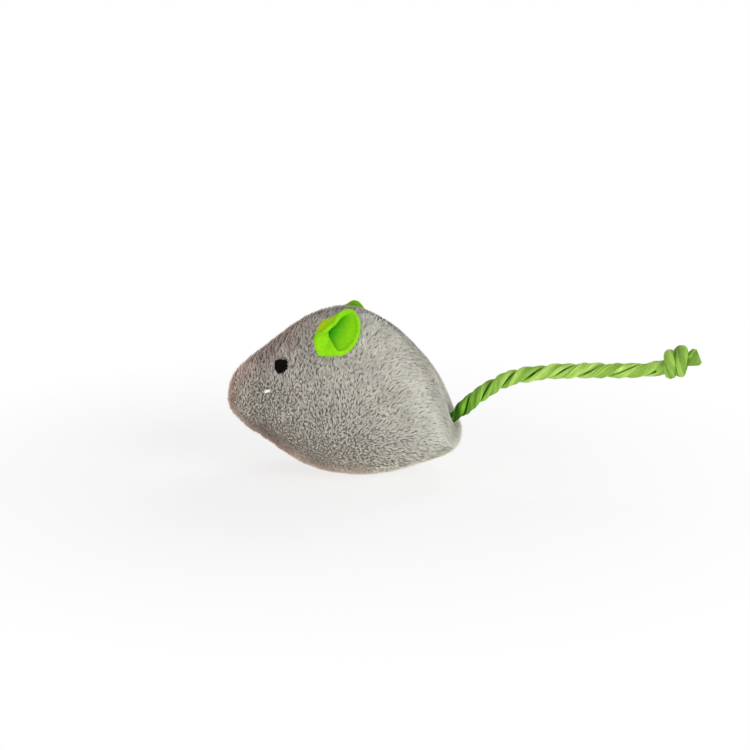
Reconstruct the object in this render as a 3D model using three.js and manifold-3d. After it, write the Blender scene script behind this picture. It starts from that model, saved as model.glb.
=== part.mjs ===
// A stuffed plush mouse with felt ears, a twisted paper-rope tail and a sachet of dried herb inside.
// All lengths are millimetres. The nose points to -X, the tail to +X, up is +Z, and the belly rests on z = 0.

import * as THREE from "three";
import { mergeVertices } from "three/addons/utils/BufferGeometryUtils.js";
import Module from "manifold-3d";

const wasm = await Module();
wasm.setup();

// Fits
const CLEARANCE = 0.3; // between pieces that touch on the real toy
const OVERRUN = 2; // how far a cutting shape runs past what it cuts
const MERGE_DISTANCE = 1e-5; // vertices closer than this are one

// Body: one closed ring of side-view places, paired back over keel, and a half width for each pair
const BODY_LENGTH = 65.4;
const BODY_HEIGHT = 45.6; // from the resting flat to the crown of the back
const BODY_WIDTH = 40;
const FLAT_DEPTH = 0.5;
const PLUSH_THICKNESS = 1.4;
const BACK_SHARES = [
  [-0.5, 0.433],
  [-0.466, 0.592],
  [-0.337, 0.757],
  [-0.167, 0.93],
  [0.013, 1],
  [0.176, 0.912],
  [0.3, 0.762],
  [0.385, 0.612],
  [0.429, 0.46],
  [0.441, 0.39],
  [0.455, 0.335],
];
const KEEL_SHARES = [
  [-0.5, 0.433],
  [-0.454, 0.32],
  [-0.314, 0.19],
  [-0.146, 0.05],
  [0.026, 0.001],
  [0.192, 0.02],
  [0.345, 0.088],
  [0.458, 0.148],
  [0.499, 0.215],
  [0.494, 0.29],
  [0.455, 0.335],
];
const HALF_WIDTH_SHARES = [0, 0.4, 0.68, 0.88, 0.985, 0.99, 0.88, 0.665, 0.44, 0.23, 0];
const TOP_ROUNDNESS = 2.05; // superellipse exponents of a cross-section
const BOTTOM_ROUNDNESS = 2.5;
const PEAR_SHARE = 0.16; // how much narrower the top of a cross-section is than its bottom
const STATIONS = 24;
const AROUND = 24;
const SECTION_PROBES = 720; // places tried on a cross-section to find its widest
const STEP_SHARE = 1e-3; // step of a slope along the surface
const SOLVE_SHARE = 1e-7; // where a search along the surface stops
const FACET_SAG = 0.2; // how far the flat facets of the body lie inside its true surface

// Seams
const SEAM_GAP = 0.3;
const SEAM_STEPS = 30;
const BELLY_SEAM_SHARES = [
  [-0.56, 0.43],
  [-0.45, 0.352],
  [-0.37, 0.272],
  [-0.26, 0.19],
  [-0.1, 0.105],
  [0.1, 0.085],
  [0.3, 0.13],
  [0.4, 0.19],
  [0.456, 0.216],
  [0.56, 0.235],
];
const SEAM_THREAD_DIAMETER = 0.6;
const SEAM_THREAD_SIDES = 6;
const SPINE_THREAD_SHARES = [0.08, 0.86];
const BELLY_THREAD_SHARES = [0.2, 0.84];
const SEAM_THREAD_STEPS = 20;

// Ladder stitch that closes the stuffing slit in the spine seam
const CLOSING_THREAD_DIAMETER = 0.6;
const CLOSING_SPREAD = 1.1;
const CLOSING_SHARES = [0.44, 0.535];
const CLOSING_STITCHES = 6;

// Ears: cupped felt discs sewn on along their lower front edge
const EAR_LENGTH = 14.7;
const EAR_WIDTH = 12;
const EAR_THICKNESS = 1.4;
const EAR_CUP_DEPTH = 2.6;
const EAR_SEAT_DEPTH = 0.5; // how far the disc would sink into the body before it is cut to fit
const EAR_PLACE_SHARES = [-0.077, 0.768]; // middle of the sewn edge in side view
const EAR_AXIS = new THREE.Vector3(0.626, -0.395, 0.675); // from the sewn edge to the tip, on the right side
const EAR_DROOP = 2.5; // how far the tip bends back towards the body
const EAR_RINGS = 4;
const EAR_AROUND = 20;
const EAR_TACK_SPAN = 4.5;
const EAR_TACK_STEPS = 4;

// Eyes and muzzle stitches
const EYE_WIDTH = 3.9;
const EYE_HEIGHT = 4.7;
const EYE_BULGE = 1;
const EYE_PLACE_SHARES = [-0.234, 0.688];
const MUZZLE_STITCH_LENGTH = 1.9;
const MUZZLE_STITCH_WIDTH = 1;
const MUZZLE_STITCH_BULGE = 0.8;
const MUZZLE_STITCH_RISE = 0.5; // radians above level, towards the rump
const MUZZLE_PLACE_SHARES = [-0.295, 0.54];
const PAD_SEGMENTS = [12, 8];

// Sachet in the middle of the filling
const SACHET_LENGTH = 36;
const SACHET_HEIGHT = 28;
const SACHET_FULLNESS = 22;
const SACHET_SHEET = 0.4;
const SACHET_MARGIN = 2.5;
const HERB_REACH_SHARE = 0.93; // of the way from the sachet's middle to its joined margin
const SACHET_PLACE_SHARES = [0.01, 0.46];
const SACHET_AROUND = 20;
const SACHET_STEPS = 5;
const FILLING_SPLIT_SHARE = 0.02;

// Tail: the rope's centreline, counted from where it leaves the rump seam
const TAIL_DIAMETER = 3.8;
const TAIL_SIDES = 8;
const TAIL_STEPS = 26;
const TAIL_ROUTE = [
  [3.4, 0, 3.1],
  [5.1, 0, 4.8],
  [6.9, 0, 6.4],
  [8.9, 0, 7.9],
  [11.1, 0, 9.4],
  [13.4, 0, 10.7],
  [15.8, 0, 11.7],
  [18.4, 0, 12.5],
  [21.2, 0, 13.1],
  [24.3, 0, 13.6],
  [28, 0, 14],
  [32.2, 0, 14.3],
  [36.5, 0, 14.5],
  [40.8, 0, 14.6],
  [45.1, 0, 14.8],
  [49.3, 0, 15],
  [53, 0, 15.3],
  [55.8, 0, 15.8],
];
const TAIL_ROOT_DIAMETER = 4.4;
const TAIL_PINCH_DIAMETER = 1.8; // the rope where the seam pinches it
const TAIL_ANCHOR_DIAMETER = 3.4;
const TAIL_ANCHOR_LENGTH = 8;
const TAIL_ANCHOR_DROP_SHARE = 0.3; // fall of the sewn-in end per unit of length

// Knot: two wraps of the rope round its own core, then a short cut end
const KNOT_CORE_DIAMETER = 3.4;
const KNOT_CORE_LENGTH = 6.4;
const KNOT_RISE = 0.5; // radians by which the core climbs through the wraps
const KNOT_WRAP_RADIUS = 2.9;
const KNOT_WRAP_DIAMETER = 3;
const KNOT_WRAP_SPACING = 2.5;
const KNOT_WRAP_TILT = 0.22; // radians
const KNOT_END_LENGTH = 5.4;
const KNOT_END_DIAMETER = 4.4;
const KNOT_END_RISE = 0.3; // radians
const KNOT_AROUND = 14;
const KNOT_SIDES = 8;

// Finishes
const plush = new THREE.MeshStandardMaterial({ color: 0x9d9a8f, roughness: 0.95, metalness: 0 });
const felt = new THREE.MeshStandardMaterial({ color: 0x86cf0a, roughness: 0.9, metalness: 0 });
const rope = new THREE.MeshStandardMaterial({ color: 0x8fb545, roughness: 0.75, metalness: 0 });
const blackThread = new THREE.MeshStandardMaterial({ color: 0x0a0a0a, roughness: 0.6, metalness: 0 });
const whiteThread = new THREE.MeshStandardMaterial({ color: 0xf0efea, roughness: 0.6, metalness: 0 });
const greyThread = new THREE.MeshStandardMaterial({ color: 0x6f6c66, roughness: 0.7, metalness: 0 });
const fibre = new THREE.MeshStandardMaterial({ color: 0xf4f3ef, roughness: 1, metalness: 0 });
const sheet = new THREE.MeshStandardMaterial({ color: 0xe9ebe4, roughness: 0.9, metalness: 0 });
const herb = new THREE.MeshStandardMaterial({ color: 0x6d7a3c, roughness: 1, metalness: 0 });

// A closed geometry as a solid that can be joined and cut
function solidOf(geometry) {
  const bare = geometry.clone();
  bare.deleteAttribute("normal");
  bare.deleteAttribute("uv");
  const merged = mergeVertices(bare, MERGE_DISTANCE);
  return new wasm.Manifold(
    new wasm.Mesh({
      numProp: 3,
      vertProperties: merged.attributes.position.array,
      triVerts: new Uint32Array(merged.index.array),
    }),
  );
}

function geometryOf(solid) {
  const mesh = solid.getMesh();
  const geometry = new THREE.BufferGeometry()
    .setAttribute("position", new THREE.BufferAttribute(new Float32Array(mesh.vertProperties), 3))
    .setIndex(new THREE.BufferAttribute(new Uint32Array(mesh.triVerts), 1))
    .toNonIndexed();
  geometry.computeVertexNormals();
  return geometry;
}

function boxSolid(low, high) {
  const size = new THREE.Vector3().subVectors(high, low);
  const middle = new THREE.Vector3().addVectors(low, high).divideScalar(2);
  return solidOf(new THREE.BoxGeometry(...size).translate(...middle));
}

// Catmull-Rom value at x along rows that pick(i) gives
function spline(pick, x) {
  const i = Math.floor(x);
  const t = x - i;
  const [a, b, c, d] = [pick(i - 1), pick(i), pick(i + 1), pick(i + 2)];
  return b.map((from, k) => {
    const leave = (c[k] - a[k]) / 2;
    const arrive = (d[k] - b[k]) / 2;
    const cubic = 2 * from - 2 * c[k] + leave + arrive;
    const square = -3 * from + 3 * c[k] - 2 * leave - arrive;
    return ((cubic * t + square) * t + leave) * t + from;
  });
}

const LAST_PAIR = BACK_SHARES.length - 1;
const RING_SHARES = [...BACK_SHARES, ...KEEL_SHARES.slice(1, -1).reverse()];
const ringPlace = (i) => RING_SHARES[(i + RING_SHARES.length) % RING_SHARES.length];

// Half widths run on through each end with their sign turned, so that the ends close round
function widthPlace(i) {
  if (i < 0) return [-HALF_WIDTH_SHARES[-i]];
  if (i > LAST_PAIR) return [-HALF_WIDTH_SHARES[2 * LAST_PAIR - i]];
  return [HALF_WIDTH_SHARES[i]];
}

const inSideView = ([x, z]) => [x * BODY_LENGTH, z * (BODY_HEIGHT + FLAT_DEPTH) - FLAT_DEPTH];

// The chord of the body at a share s of the way from nose to rump: its middle, its half, and the half width
function chordAt(s) {
  const x = Math.min(Math.max(s, 0), 1 - SOLVE_SHARE) * LAST_PAIR;
  const back = inSideView(spline(ringPlace, x));
  const keel = inSideView(spline(ringPlace, RING_SHARES.length - x));
  const [width] = spline(widthPlace, x);
  return {
    middle: [(back[0] + keel[0]) / 2, (back[1] + keel[1]) / 2],
    half: [(back[0] - keel[0]) / 2, (back[1] - keel[1]) / 2],
    halfWidth: (width * BODY_WIDTH) / 2,
  };
}

// A cross-section at angle a from its top: how far up the chord, and how far out, each as a share
function sectionAt(a) {
  const low = (1 - Math.cos(a)) / 2;
  const eased = low * low * (3 - 2 * low);
  const power = TOP_ROUNDNESS + (BOTTOM_ROUNDNESS - TOP_ROUNDNESS) * eased;
  const reach = (Math.abs(Math.cos(a)) ** power + Math.abs(Math.sin(a)) ** power) ** (1 / power);
  const up = Math.cos(a) / reach;
  return [up, (Math.sin(a) / reach) * (1 - PEAR_SHARE * up)];
}
const widestShare = Math.max(
  ...Array.from({ length: SECTION_PROBES }, (_, i) => sectionAt((Math.PI * i) / SECTION_PROBES)[1]),
);

function bodyPoint(s, a) {
  const { middle, half, halfWidth } = chordAt(s);
  const [up, out] = sectionAt(a);
  return new THREE.Vector3(
    middle[0] + half[0] * up,
    (halfWidth * out) / widestShare,
    middle[1] + half[1] * up,
  );
}

// Outward normal, from the two directions along the surface; the two ends take theirs from the side view
function bodyNormal(s, a) {
  const end = Math.round(s);
  if (Math.abs(s - end) < STEP_SHARE) {
    const { half } = chordAt(Math.abs(end - STEP_SHARE));
    const side = end ? 1 : -1;
    return new THREE.Vector3(side * half[1], 0, -side * half[0]).normalize();
  }
  const along = bodyPoint(s + STEP_SHARE, a).sub(bodyPoint(s - STEP_SHARE, a));
  const around = bodyPoint(s, a + STEP_SHARE).sub(bodyPoint(s, a - STEP_SHARE));
  return along.cross(around).normalize();
}

const insetPoint = (s, a, inset) => bodyPoint(s, a).addScaledVector(bodyNormal(s, a), -inset);

// The body's surface moved inwards by inset, closed, and cut level at that height above the resting plane
function bodySolid(inset) {
  const rows = [];
  for (let i = 1; i < STATIONS; i++) {
    for (let j = 0; j < AROUND; j++) {
      rows.push(insetPoint(i / STATIONS, (2 * Math.PI * j) / AROUND, inset));
    }
  }
  const nose = rows.length;
  rows.push(insetPoint(0, 0, inset), insetPoint(1, 0, inset));
  const faces = [];
  const at = (i, j) => (i - 1) * AROUND + (j % AROUND);
  for (let j = 0; j < AROUND; j++) {
    faces.push(nose, at(1, j), at(1, j + 1));
    for (let i = 1; i < STATIONS - 1; i++) {
      faces.push(at(i, j), at(i + 1, j), at(i + 1, j + 1));
      faces.push(at(i, j), at(i + 1, j + 1), at(i, j + 1));
    }
    faces.push(nose + 1, at(STATIONS - 1, j + 1), at(STATIONS - 1, j));
  }
  const geometry = new THREE.BufferGeometry().setFromPoints(rows).setIndex(faces);
  const low = new THREE.Vector3(-BODY_LENGTH, -BODY_WIDTH, inset);
  const high = new THREE.Vector3(BODY_LENGTH, BODY_WIDTH, BODY_HEIGHT + OVERRUN);
  return solidOf(geometry).intersect(boxSolid(low, high));
}

// The place on the side (1 for the right, -1 for the left) that shows at (x, z) in side view
function onSide(place, side) {
  const [x, z] = place;
  const miss = (s) => {
    const { middle, half } = chordAt(s);
    return (x - middle[0]) * half[1] - (z - middle[1]) * half[0];
  };
  let [low, high] = [1 / STATIONS, 1 - 1 / STATIONS];
  while (high - low > SOLVE_SHARE) {
    const s = (low + high) / 2;
    if (miss(s) > 0) low = s;
    else high = s;
  }
  const { middle, half } = chordAt(low);
  const up = ((x - middle[0]) * half[0] + (z - middle[1]) * half[1]) / (half[0] ** 2 + half[1] ** 2);
  let [top, bottom] = [0, Math.PI];
  while (bottom - top > SOLVE_SHARE) {
    const a = (top + bottom) / 2;
    if (sectionAt(a)[0] > up) top = a;
    else bottom = a;
  }
  return [low, side * top];
}

// count + 1 evenly spaced values from one end to the other
function between([from, to], count) {
  return Array.from({ length: count + 1 }, (_, i) => from + ((to - from) * i) / count);
}

// A tube of round section along points
function tube(points, diameter, sides, steps) {
  const section = new THREE.Shape();
  for (let i = 0; i < sides; i++) {
    const a = (2 * Math.PI * i) / sides;
    const point = [(Math.cos(a) * diameter) / 2, (Math.sin(a) * diameter) / 2];
    if (i) section.lineTo(...point);
    else section.moveTo(...point);
  }
  section.closePath();
  const extrudePath = new THREE.CatmullRomCurve3(points);
  return new THREE.ExtrudeGeometry(section, { steps, extrudePath, bevelEnabled: false });
}

const root = new THREE.Group();

function add(name, geometry, material) {
  const mesh = new THREE.Mesh(geometry, material);
  mesh.name = name;
  root.add(mesh);
  return mesh;
}

const sides = { left: -1, right: 1 };

// Tail root: a ball of rope pinched in the rump seam, on which the tail bends
const tailExit = bodyPoint(1, 0);
const tailRoute = TAIL_ROUTE.map((offset) => new THREE.Vector3(...offset).add(tailExit));
const tailDirection = new THREE.Vector3().subVectors(tailRoute[0], tailExit).normalize();
const ball = (diameter) => new THREE.SphereGeometry(diameter / 2, ...PAD_SEGMENTS).translate(...tailExit);
add("tail_root", ball(TAIL_ROOT_DIAMETER), rope);
const rootSocket = solidOf(ball(TAIL_ROOT_DIAMETER + 2 * CLEARANCE));

// A round bar from one point towards another direction
function bar(start, direction, length, startDiameter, endDiameter, facets) {
  const geometry = new THREE.CylinderGeometry(endDiameter / 2, startDiameter / 2, length, facets);
  geometry.translate(0, length / 2, 0);
  const turn = new THREE.Quaternion().setFromUnitVectors(new THREE.Vector3(0, 1, 0), direction);
  return geometry.applyQuaternion(turn).translate(...start);
}

// Sewn-in end of the rope, inside the rump
const anchorDirection = new THREE.Vector3(-1, 0, -TAIL_ANCHOR_DROP_SHARE).normalize();
const anchorReach = TAIL_ROOT_DIAMETER / 2 + CLEARANCE;
function anchor(clearance) {
  const start = tailExit.clone().addScaledVector(anchorDirection, anchorReach - clearance);
  const diameter = TAIL_ANCHOR_DIAMETER + 2 * clearance;
  return bar(start, anchorDirection, TAIL_ANCHOR_LENGTH + 2 * clearance, diameter, diameter, TAIL_SIDES);
}
add("tail_anchor", anchor(0), rope);
const anchorChannel = solidOf(anchor(CLEARANCE));

// Rope from the pinch to the knot
const ropeTube = solidOf(tube(tailRoute, TAIL_DIAMETER, TAIL_SIDES, TAIL_STEPS));
const pinchStart = tailExit.clone().addScaledVector(tailDirection, anchorReach);
const pinchLength = tailRoute[0].distanceTo(pinchStart) + CLEARANCE;
const pinch = bar(pinchStart, tailDirection, pinchLength, TAIL_PINCH_DIAMETER, TAIL_DIAMETER, TAIL_SIDES);
add("tail_rope", geometryOf(ropeTube.add(solidOf(pinch))), rope);

// Knot
const ropeEnd = tailRoute.at(-1);
const ropeEndDirection = new THREE.Vector3().subVectors(ropeEnd, tailRoute.at(-2)).normalize();
const knotStart = ropeEnd.clone().addScaledVector(ropeEndDirection, CLEARANCE);
const sideTurn = (angle) => new THREE.Vector3(Math.cos(angle), 0, Math.sin(angle));
const coreDirection = sideTurn(KNOT_RISE);
const knotCore = bar(
  knotStart,
  coreDirection,
  KNOT_CORE_LENGTH,
  KNOT_CORE_DIAMETER,
  KNOT_CORE_DIAMETER,
  KNOT_SIDES,
);
const coreMiddle = knotStart.clone().addScaledVector(coreDirection, KNOT_CORE_LENGTH / 2);
const coreEnd = knotStart.clone().addScaledVector(coreDirection, KNOT_CORE_LENGTH - KNOT_CORE_DIAMETER / 2);
const cutEnd = bar(
  coreEnd,
  sideTurn(KNOT_END_RISE),
  KNOT_END_LENGTH,
  KNOT_CORE_DIAMETER,
  KNOT_END_DIAMETER,
  KNOT_SIDES,
);
function wrap(side) {
  const ring = new THREE.TorusGeometry(KNOT_WRAP_RADIUS, KNOT_WRAP_DIAMETER / 2, KNOT_SIDES, KNOT_AROUND);
  const centre = coreMiddle.clone().add(new THREE.Vector3((side * KNOT_WRAP_SPACING) / 2, 0, 0));
  return ring.rotateY(Math.PI / 2 + side * KNOT_WRAP_TILT).translate(...centre);
}
const knotParts = [cutEnd, wrap(-1), wrap(1)].map(solidOf);
const knot = knotParts.reduce((whole, part) => whole.add(part), solidOf(knotCore));
const ropeWay = bar(
  knotStart,
  ropeEndDirection.clone().negate(),
  OVERRUN + KNOT_WRAP_DIAMETER,
  TAIL_DIAMETER + 2 * CLEARANCE,
  TAIL_DIAMETER + 2 * CLEARANCE,
  KNOT_AROUND,
);
add("tail_knot", geometryOf(knot.subtract(solidOf(ropeWay))), rope);

// Belly seam in side view, moved by offset towards the back
const seamCurve = new THREE.CatmullRomCurve3(
  BELLY_SEAM_SHARES.map(inSideView).map(([x, z]) => new THREE.Vector3(x, z, 0)),
);
function bellySide(offset) {
  const line = seamCurve.getPoints(SEAM_STEPS).map((point, i, all) => {
    const before = all[Math.max(i - 1, 0)];
    const after = all[Math.min(i + 1, all.length - 1)];
    const run = new THREE.Vector3().subVectors(after, before).normalize();
    return new THREE.Vector2(point.x - run.y * offset, point.y + run.x * offset);
  });
  const floor = -FLAT_DEPTH - OVERRUN;
  const outline = [new THREE.Vector2(line[0].x, floor), ...line, new THREE.Vector2(line.at(-1).x, floor)];
  const depth = BODY_WIDTH + 2 * OVERRUN;
  const slab = new THREE.ExtrudeGeometry(new THREE.Shape(outline), { depth, bevelEnabled: false });
  return solidOf(slab.rotateX(Math.PI / 2).translate(0, depth / 2, 0));
}

// Plush panels: left side, right side and belly
const shell = bodySolid(0).subtract(bodySolid(PLUSH_THICKNESS)).subtract(rootSocket);
const upperShell = shell.subtract(bellySide(SEAM_GAP / 2));
for (const [name, side] of Object.entries(sides)) {
  const low = new THREE.Vector3(-BODY_LENGTH, SEAM_GAP / 2, -OVERRUN);
  const high = new THREE.Vector3(BODY_LENGTH, BODY_WIDTH, BODY_HEIGHT + OVERRUN);
  if (side < 0) [low.y, high.y] = [-high.y, -low.y];
  add("side_panel_" + name, geometryOf(upperShell.intersect(boxSolid(low, high))), plush);
}
add("belly_panel", geometryOf(shell.intersect(bellySide(-SEAM_GAP / 2))), plush);

// Seam threads run just inside the panels, in channels of the filling
const channels = [rootSocket, anchorChannel];
const THREAD_CHANNEL_DIAMETER = SEAM_THREAD_DIAMETER + 2 * (CLEARANCE + FACET_SAG);
const threadInset = PLUSH_THICKNESS + CLEARANCE + FACET_SAG + SEAM_THREAD_DIAMETER / 2;
function addSeamThread(name, points) {
  add(name, tube(points, SEAM_THREAD_DIAMETER, SEAM_THREAD_SIDES, SEAM_THREAD_STEPS), greyThread);
  channels.push(solidOf(tube(points, THREAD_CHANNEL_DIAMETER, SEAM_THREAD_SIDES, SEAM_THREAD_STEPS)));
}
addSeamThread(
  "spine_seam_thread",
  between(SPINE_THREAD_SHARES, SEAM_THREAD_STEPS).map((s) => insetPoint(s, 0, threadInset)),
);
for (const [name, side] of Object.entries(sides)) {
  const points = between(BELLY_THREAD_SHARES, SEAM_THREAD_STEPS).map((share) => {
    const { x, y } = seamCurve.getPoint(share);
    return insetPoint(...onSide([x, y], side), threadInset);
  });
  addSeamThread("belly_seam_thread_" + name, points);
}

// Closing stitch: a zigzag that lies across the spine seam
const closingRise = CLEARANCE + CLOSING_THREAD_DIAMETER / 2;
const closingPoints = between(CLOSING_SHARES, CLOSING_STITCHES).map((s, i) => {
  const point = insetPoint(s, 0, -closingRise);
  point.y = ((i % 2 ? 1 : -1) * CLOSING_SPREAD) / 2;
  return point;
});
add(
  "closing_stitch",
  tube(closingPoints, CLOSING_THREAD_DIAMETER, SEAM_THREAD_SIDES, 2 * CLOSING_STITCHES),
  greyThread,
);

// What lies on the body is cut to its surface. A mirrored copy of each right piece makes the left one.
const bodyAndGap = bodySolid(-CLEARANCE);
function addPair(name, solid, material) {
  const geometry = geometryOf(solid);
  add(name + "_right", geometry, material);
  add(name + "_left", geometry, material).scale.y = -1;
}

// A frame on the right side: w is the outward normal, u lies along heading, v completes them
function frameOn(place, heading, rise) {
  const where = onSide(inSideView(place), 1);
  const w = bodyNormal(...where);
  const u = heading.clone().addScaledVector(w, -heading.dot(w)).normalize();
  const v = new THREE.Vector3().crossVectors(w, u);
  const origin = bodyPoint(...where).addScaledVector(w, rise);
  return new THREE.Matrix4().makeBasis(u, v, w).setPosition(origin);
}

// An ear in its own plane: u runs from the sewn edge to the tip, v to the rear, w away from the body
function earPoint(r, a, rise) {
  const u = (EAR_LENGTH * (1 - r * Math.cos(a))) / 2;
  const v = (EAR_WIDTH * r * Math.sin(a)) / 2;
  const cup = EAR_CUP_DEPTH * (r * Math.sin(a)) ** 2;
  const droop = EAR_DROOP * (u / EAR_LENGTH) ** 2;
  return new THREE.Vector3(u, v, cup - droop + rise);
}
function earDisc() {
  const points = [];
  for (const rise of [0, EAR_THICKNESS]) {
    points.push(earPoint(0, 0, rise));
    for (let i = 1; i <= EAR_RINGS; i++) {
      for (let j = 0; j < EAR_AROUND; j++) {
        points.push(earPoint(i / EAR_RINGS, (2 * Math.PI * j) / EAR_AROUND, rise));
      }
    }
  }
  const upper = 1 + EAR_RINGS * EAR_AROUND;
  const at = (i, j) => (i ? 1 + (i - 1) * EAR_AROUND + (j % EAR_AROUND) : 0);
  const faces = [];
  const addBoth = (a, b, c) => faces.push(a, b, c, upper + a, upper + c, upper + b);
  for (let j = 0; j < EAR_AROUND; j++) {
    addBoth(at(0, 0), at(1, j), at(1, j + 1));
    for (let i = 1; i < EAR_RINGS; i++) {
      addBoth(at(i, j), at(i + 1, j), at(i + 1, j + 1));
      addBoth(at(i, j), at(i + 1, j + 1), at(i, j + 1));
    }
    const [rim, next] = [at(EAR_RINGS, j), at(EAR_RINGS, j + 1)];
    faces.push(rim, upper + rim, upper + next);
    faces.push(rim, upper + next, next);
  }
  return new THREE.BufferGeometry().setFromPoints(points).setIndex(faces);
}
const earFrame = frameOn(EAR_PLACE_SHARES, EAR_AXIS, -EAR_SEAT_DEPTH);
addPair("ear", solidOf(earDisc().applyMatrix4(earFrame)).subtract(bodyAndGap), felt);

// Tack stitches that hold the ears, on the inside of the side panels
const earTackPoints = between([-EAR_TACK_SPAN / 2, EAR_TACK_SPAN / 2], EAR_TACK_STEPS).map((v) => {
  const point = new THREE.Vector3(0, v, 0).applyMatrix4(earFrame);
  return insetPoint(...onSide([point.x, point.z], 1), threadInset);
});
const earTack = tube(earTackPoints, SEAM_THREAD_DIAMETER, SEAM_THREAD_SIDES, EAR_TACK_STEPS);
addPair("ear_tack", solidOf(earTack), greyThread);
for (const side of Object.values(sides)) {
  const points = earTackPoints.map(({ x, y, z }) => new THREE.Vector3(x, side * y, z));
  channels.push(solidOf(tube(points, THREAD_CHANNEL_DIAMETER, SEAM_THREAD_SIDES, EAR_TACK_STEPS)));
}

// Embroidered eyes and muzzle stitches: the caps of squashed balls
function cap(place, heading, size, bulge) {
  const pad = new THREE.SphereGeometry(1, ...PAD_SEGMENTS).scale(size[0] / 2, size[1] / 2, bulge);
  return solidOf(pad.applyMatrix4(frameOn(place, heading, 0))).subtract(bodyAndGap);
}
addPair("eye", cap(EYE_PLACE_SHARES, sideTurn(0), [EYE_WIDTH, EYE_HEIGHT], EYE_BULGE), blackThread);
const muzzleStitch = cap(
  MUZZLE_PLACE_SHARES,
  sideTurn(MUZZLE_STITCH_RISE),
  [MUZZLE_STITCH_LENGTH, MUZZLE_STITCH_WIDTH],
  MUZZLE_STITCH_BULGE,
);
addPair("muzzle_stitch", muzzleStitch, whiteThread);

// Sachet: two domed sheets joined along a flat margin, round a bed of herb
const [sachetX, sachetZ] = inSideView(SACHET_PLACE_SHARES);
function placeSachetPart(profile) {
  const lathe = new THREE.LatheGeometry(
    profile.map(([r, y]) => new THREE.Vector2(r, y)),
    SACHET_AROUND,
  );
  return lathe.scale(1, 1, SACHET_HEIGHT / SACHET_LENGTH).translate(sachetX, 0, sachetZ);
}
const dome = (radius, foot, rise) =>
  between([0, 1], SACHET_STEPS).map((share) => [radius * share, foot + rise * (1 - share ** 2)]);
const sheetFoot = CLEARANCE / 2;
const sachetRadius = SACHET_LENGTH / 2;
const marginRadius = sachetRadius + SACHET_MARGIN;
const innerRise = SACHET_FULLNESS / 2 - SACHET_SHEET - sheetFoot;
const sheetProfile = [
  ...dome(sachetRadius, sheetFoot, innerRise),
  [marginRadius, sheetFoot],
  [marginRadius, sheetFoot + SACHET_SHEET],
  ...dome(sachetRadius, sheetFoot + SACHET_SHEET, innerRise).reverse(),
];
const sheetGeometry = placeSachetPart(sheetProfile);
addPair("sachet_sheet", solidOf(sheetGeometry), sheet);
const herbRadius = sachetRadius * HERB_REACH_SHARE;
const herbDome = dome(herbRadius, 0, innerRise - CLEARANCE);
const herbUnder = herbDome.slice(0, -1).map(([r, y]) => [r, -y]);
add("catnip", placeSachetPart([...herbUnder, ...herbDome.reverse()]), herb);
const pocketFoot = sheetFoot + SACHET_SHEET + CLEARANCE;
const pocketEdge = marginRadius + CLEARANCE;
const pocketDome = [...dome(sachetRadius + CLEARANCE, pocketFoot, innerRise), [pocketEdge, pocketFoot]];
const pocketUnder = pocketDome.map(([r, y]) => [r, -y]);
channels.push(solidOf(placeSachetPart([...pocketUnder, ...pocketDome.reverse()])));

// Fibre filling, packed in before and after the sachet
const filling = channels.reduce(
  (whole, channel) => whole.subtract(channel),
  bodySolid(PLUSH_THICKNESS + CLEARANCE),
);
const splitX = FILLING_SPLIT_SHARE * BODY_LENGTH;
const ends = { front: -1, rear: 1 };
for (const [name, side] of Object.entries(ends)) {
  const low = new THREE.Vector3(splitX + SEAM_GAP / 2, -BODY_WIDTH, -OVERRUN);
  const high = new THREE.Vector3(BODY_LENGTH, BODY_WIDTH, BODY_HEIGHT + OVERRUN);
  if (side < 0) [low.x, high.x] = [-BODY_LENGTH, splitX - SEAM_GAP / 2];
  add("filling_" + name, geometryOf(filling.intersect(boxSolid(low, high))), fibre);
}

export default root;
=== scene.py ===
# %% [markdown]
# A stuffed plush mouse for a cat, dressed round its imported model. The model holds the sizes, the joints and
# what carries what. This file adds what the eye sees: short grey pile, felt ears, embroidered eyes and a tail
# of twisted paper rope. Everything is in metres, nose towards -X, tail towards +X, and up is +Z.

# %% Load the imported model
import math

import bpy
import numpy as np
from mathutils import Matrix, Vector


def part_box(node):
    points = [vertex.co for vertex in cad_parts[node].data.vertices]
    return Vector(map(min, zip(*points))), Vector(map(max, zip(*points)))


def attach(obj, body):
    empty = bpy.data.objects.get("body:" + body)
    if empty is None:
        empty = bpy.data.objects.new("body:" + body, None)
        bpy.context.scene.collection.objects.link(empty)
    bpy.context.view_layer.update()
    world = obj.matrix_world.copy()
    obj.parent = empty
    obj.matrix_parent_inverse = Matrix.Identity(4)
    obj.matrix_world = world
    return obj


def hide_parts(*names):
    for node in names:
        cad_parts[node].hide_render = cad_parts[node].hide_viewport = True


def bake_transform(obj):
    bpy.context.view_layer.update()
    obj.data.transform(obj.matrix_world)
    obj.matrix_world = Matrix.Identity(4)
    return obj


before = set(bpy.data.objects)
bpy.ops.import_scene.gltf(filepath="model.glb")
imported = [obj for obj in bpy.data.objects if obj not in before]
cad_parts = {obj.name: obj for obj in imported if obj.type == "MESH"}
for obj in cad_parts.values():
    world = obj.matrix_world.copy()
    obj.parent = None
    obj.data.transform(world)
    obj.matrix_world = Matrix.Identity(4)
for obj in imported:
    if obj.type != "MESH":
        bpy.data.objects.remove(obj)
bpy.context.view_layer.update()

MM = 0.001

# %% [markdown]
# The camera stands a little above the toy and looks at its left side, as someone at a table would. A long
# lens from half a metre keeps the near and the far ear almost the same size. The shift slides the picture
# sideways and up without turning the camera, so the toy sits where the photograph has it.

# %% Camera
CAMERA_TARGET = Vector((0, 0, 22.7 * MM))
CAMERA_DISTANCE = 480 * MM
CAMERA_TURN, CAMERA_TILT = math.radians(7), math.radians(14)
CAMERA_LENS = 83.65
CAMERA_SHIFT = (0.041, 0.0168)


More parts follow.
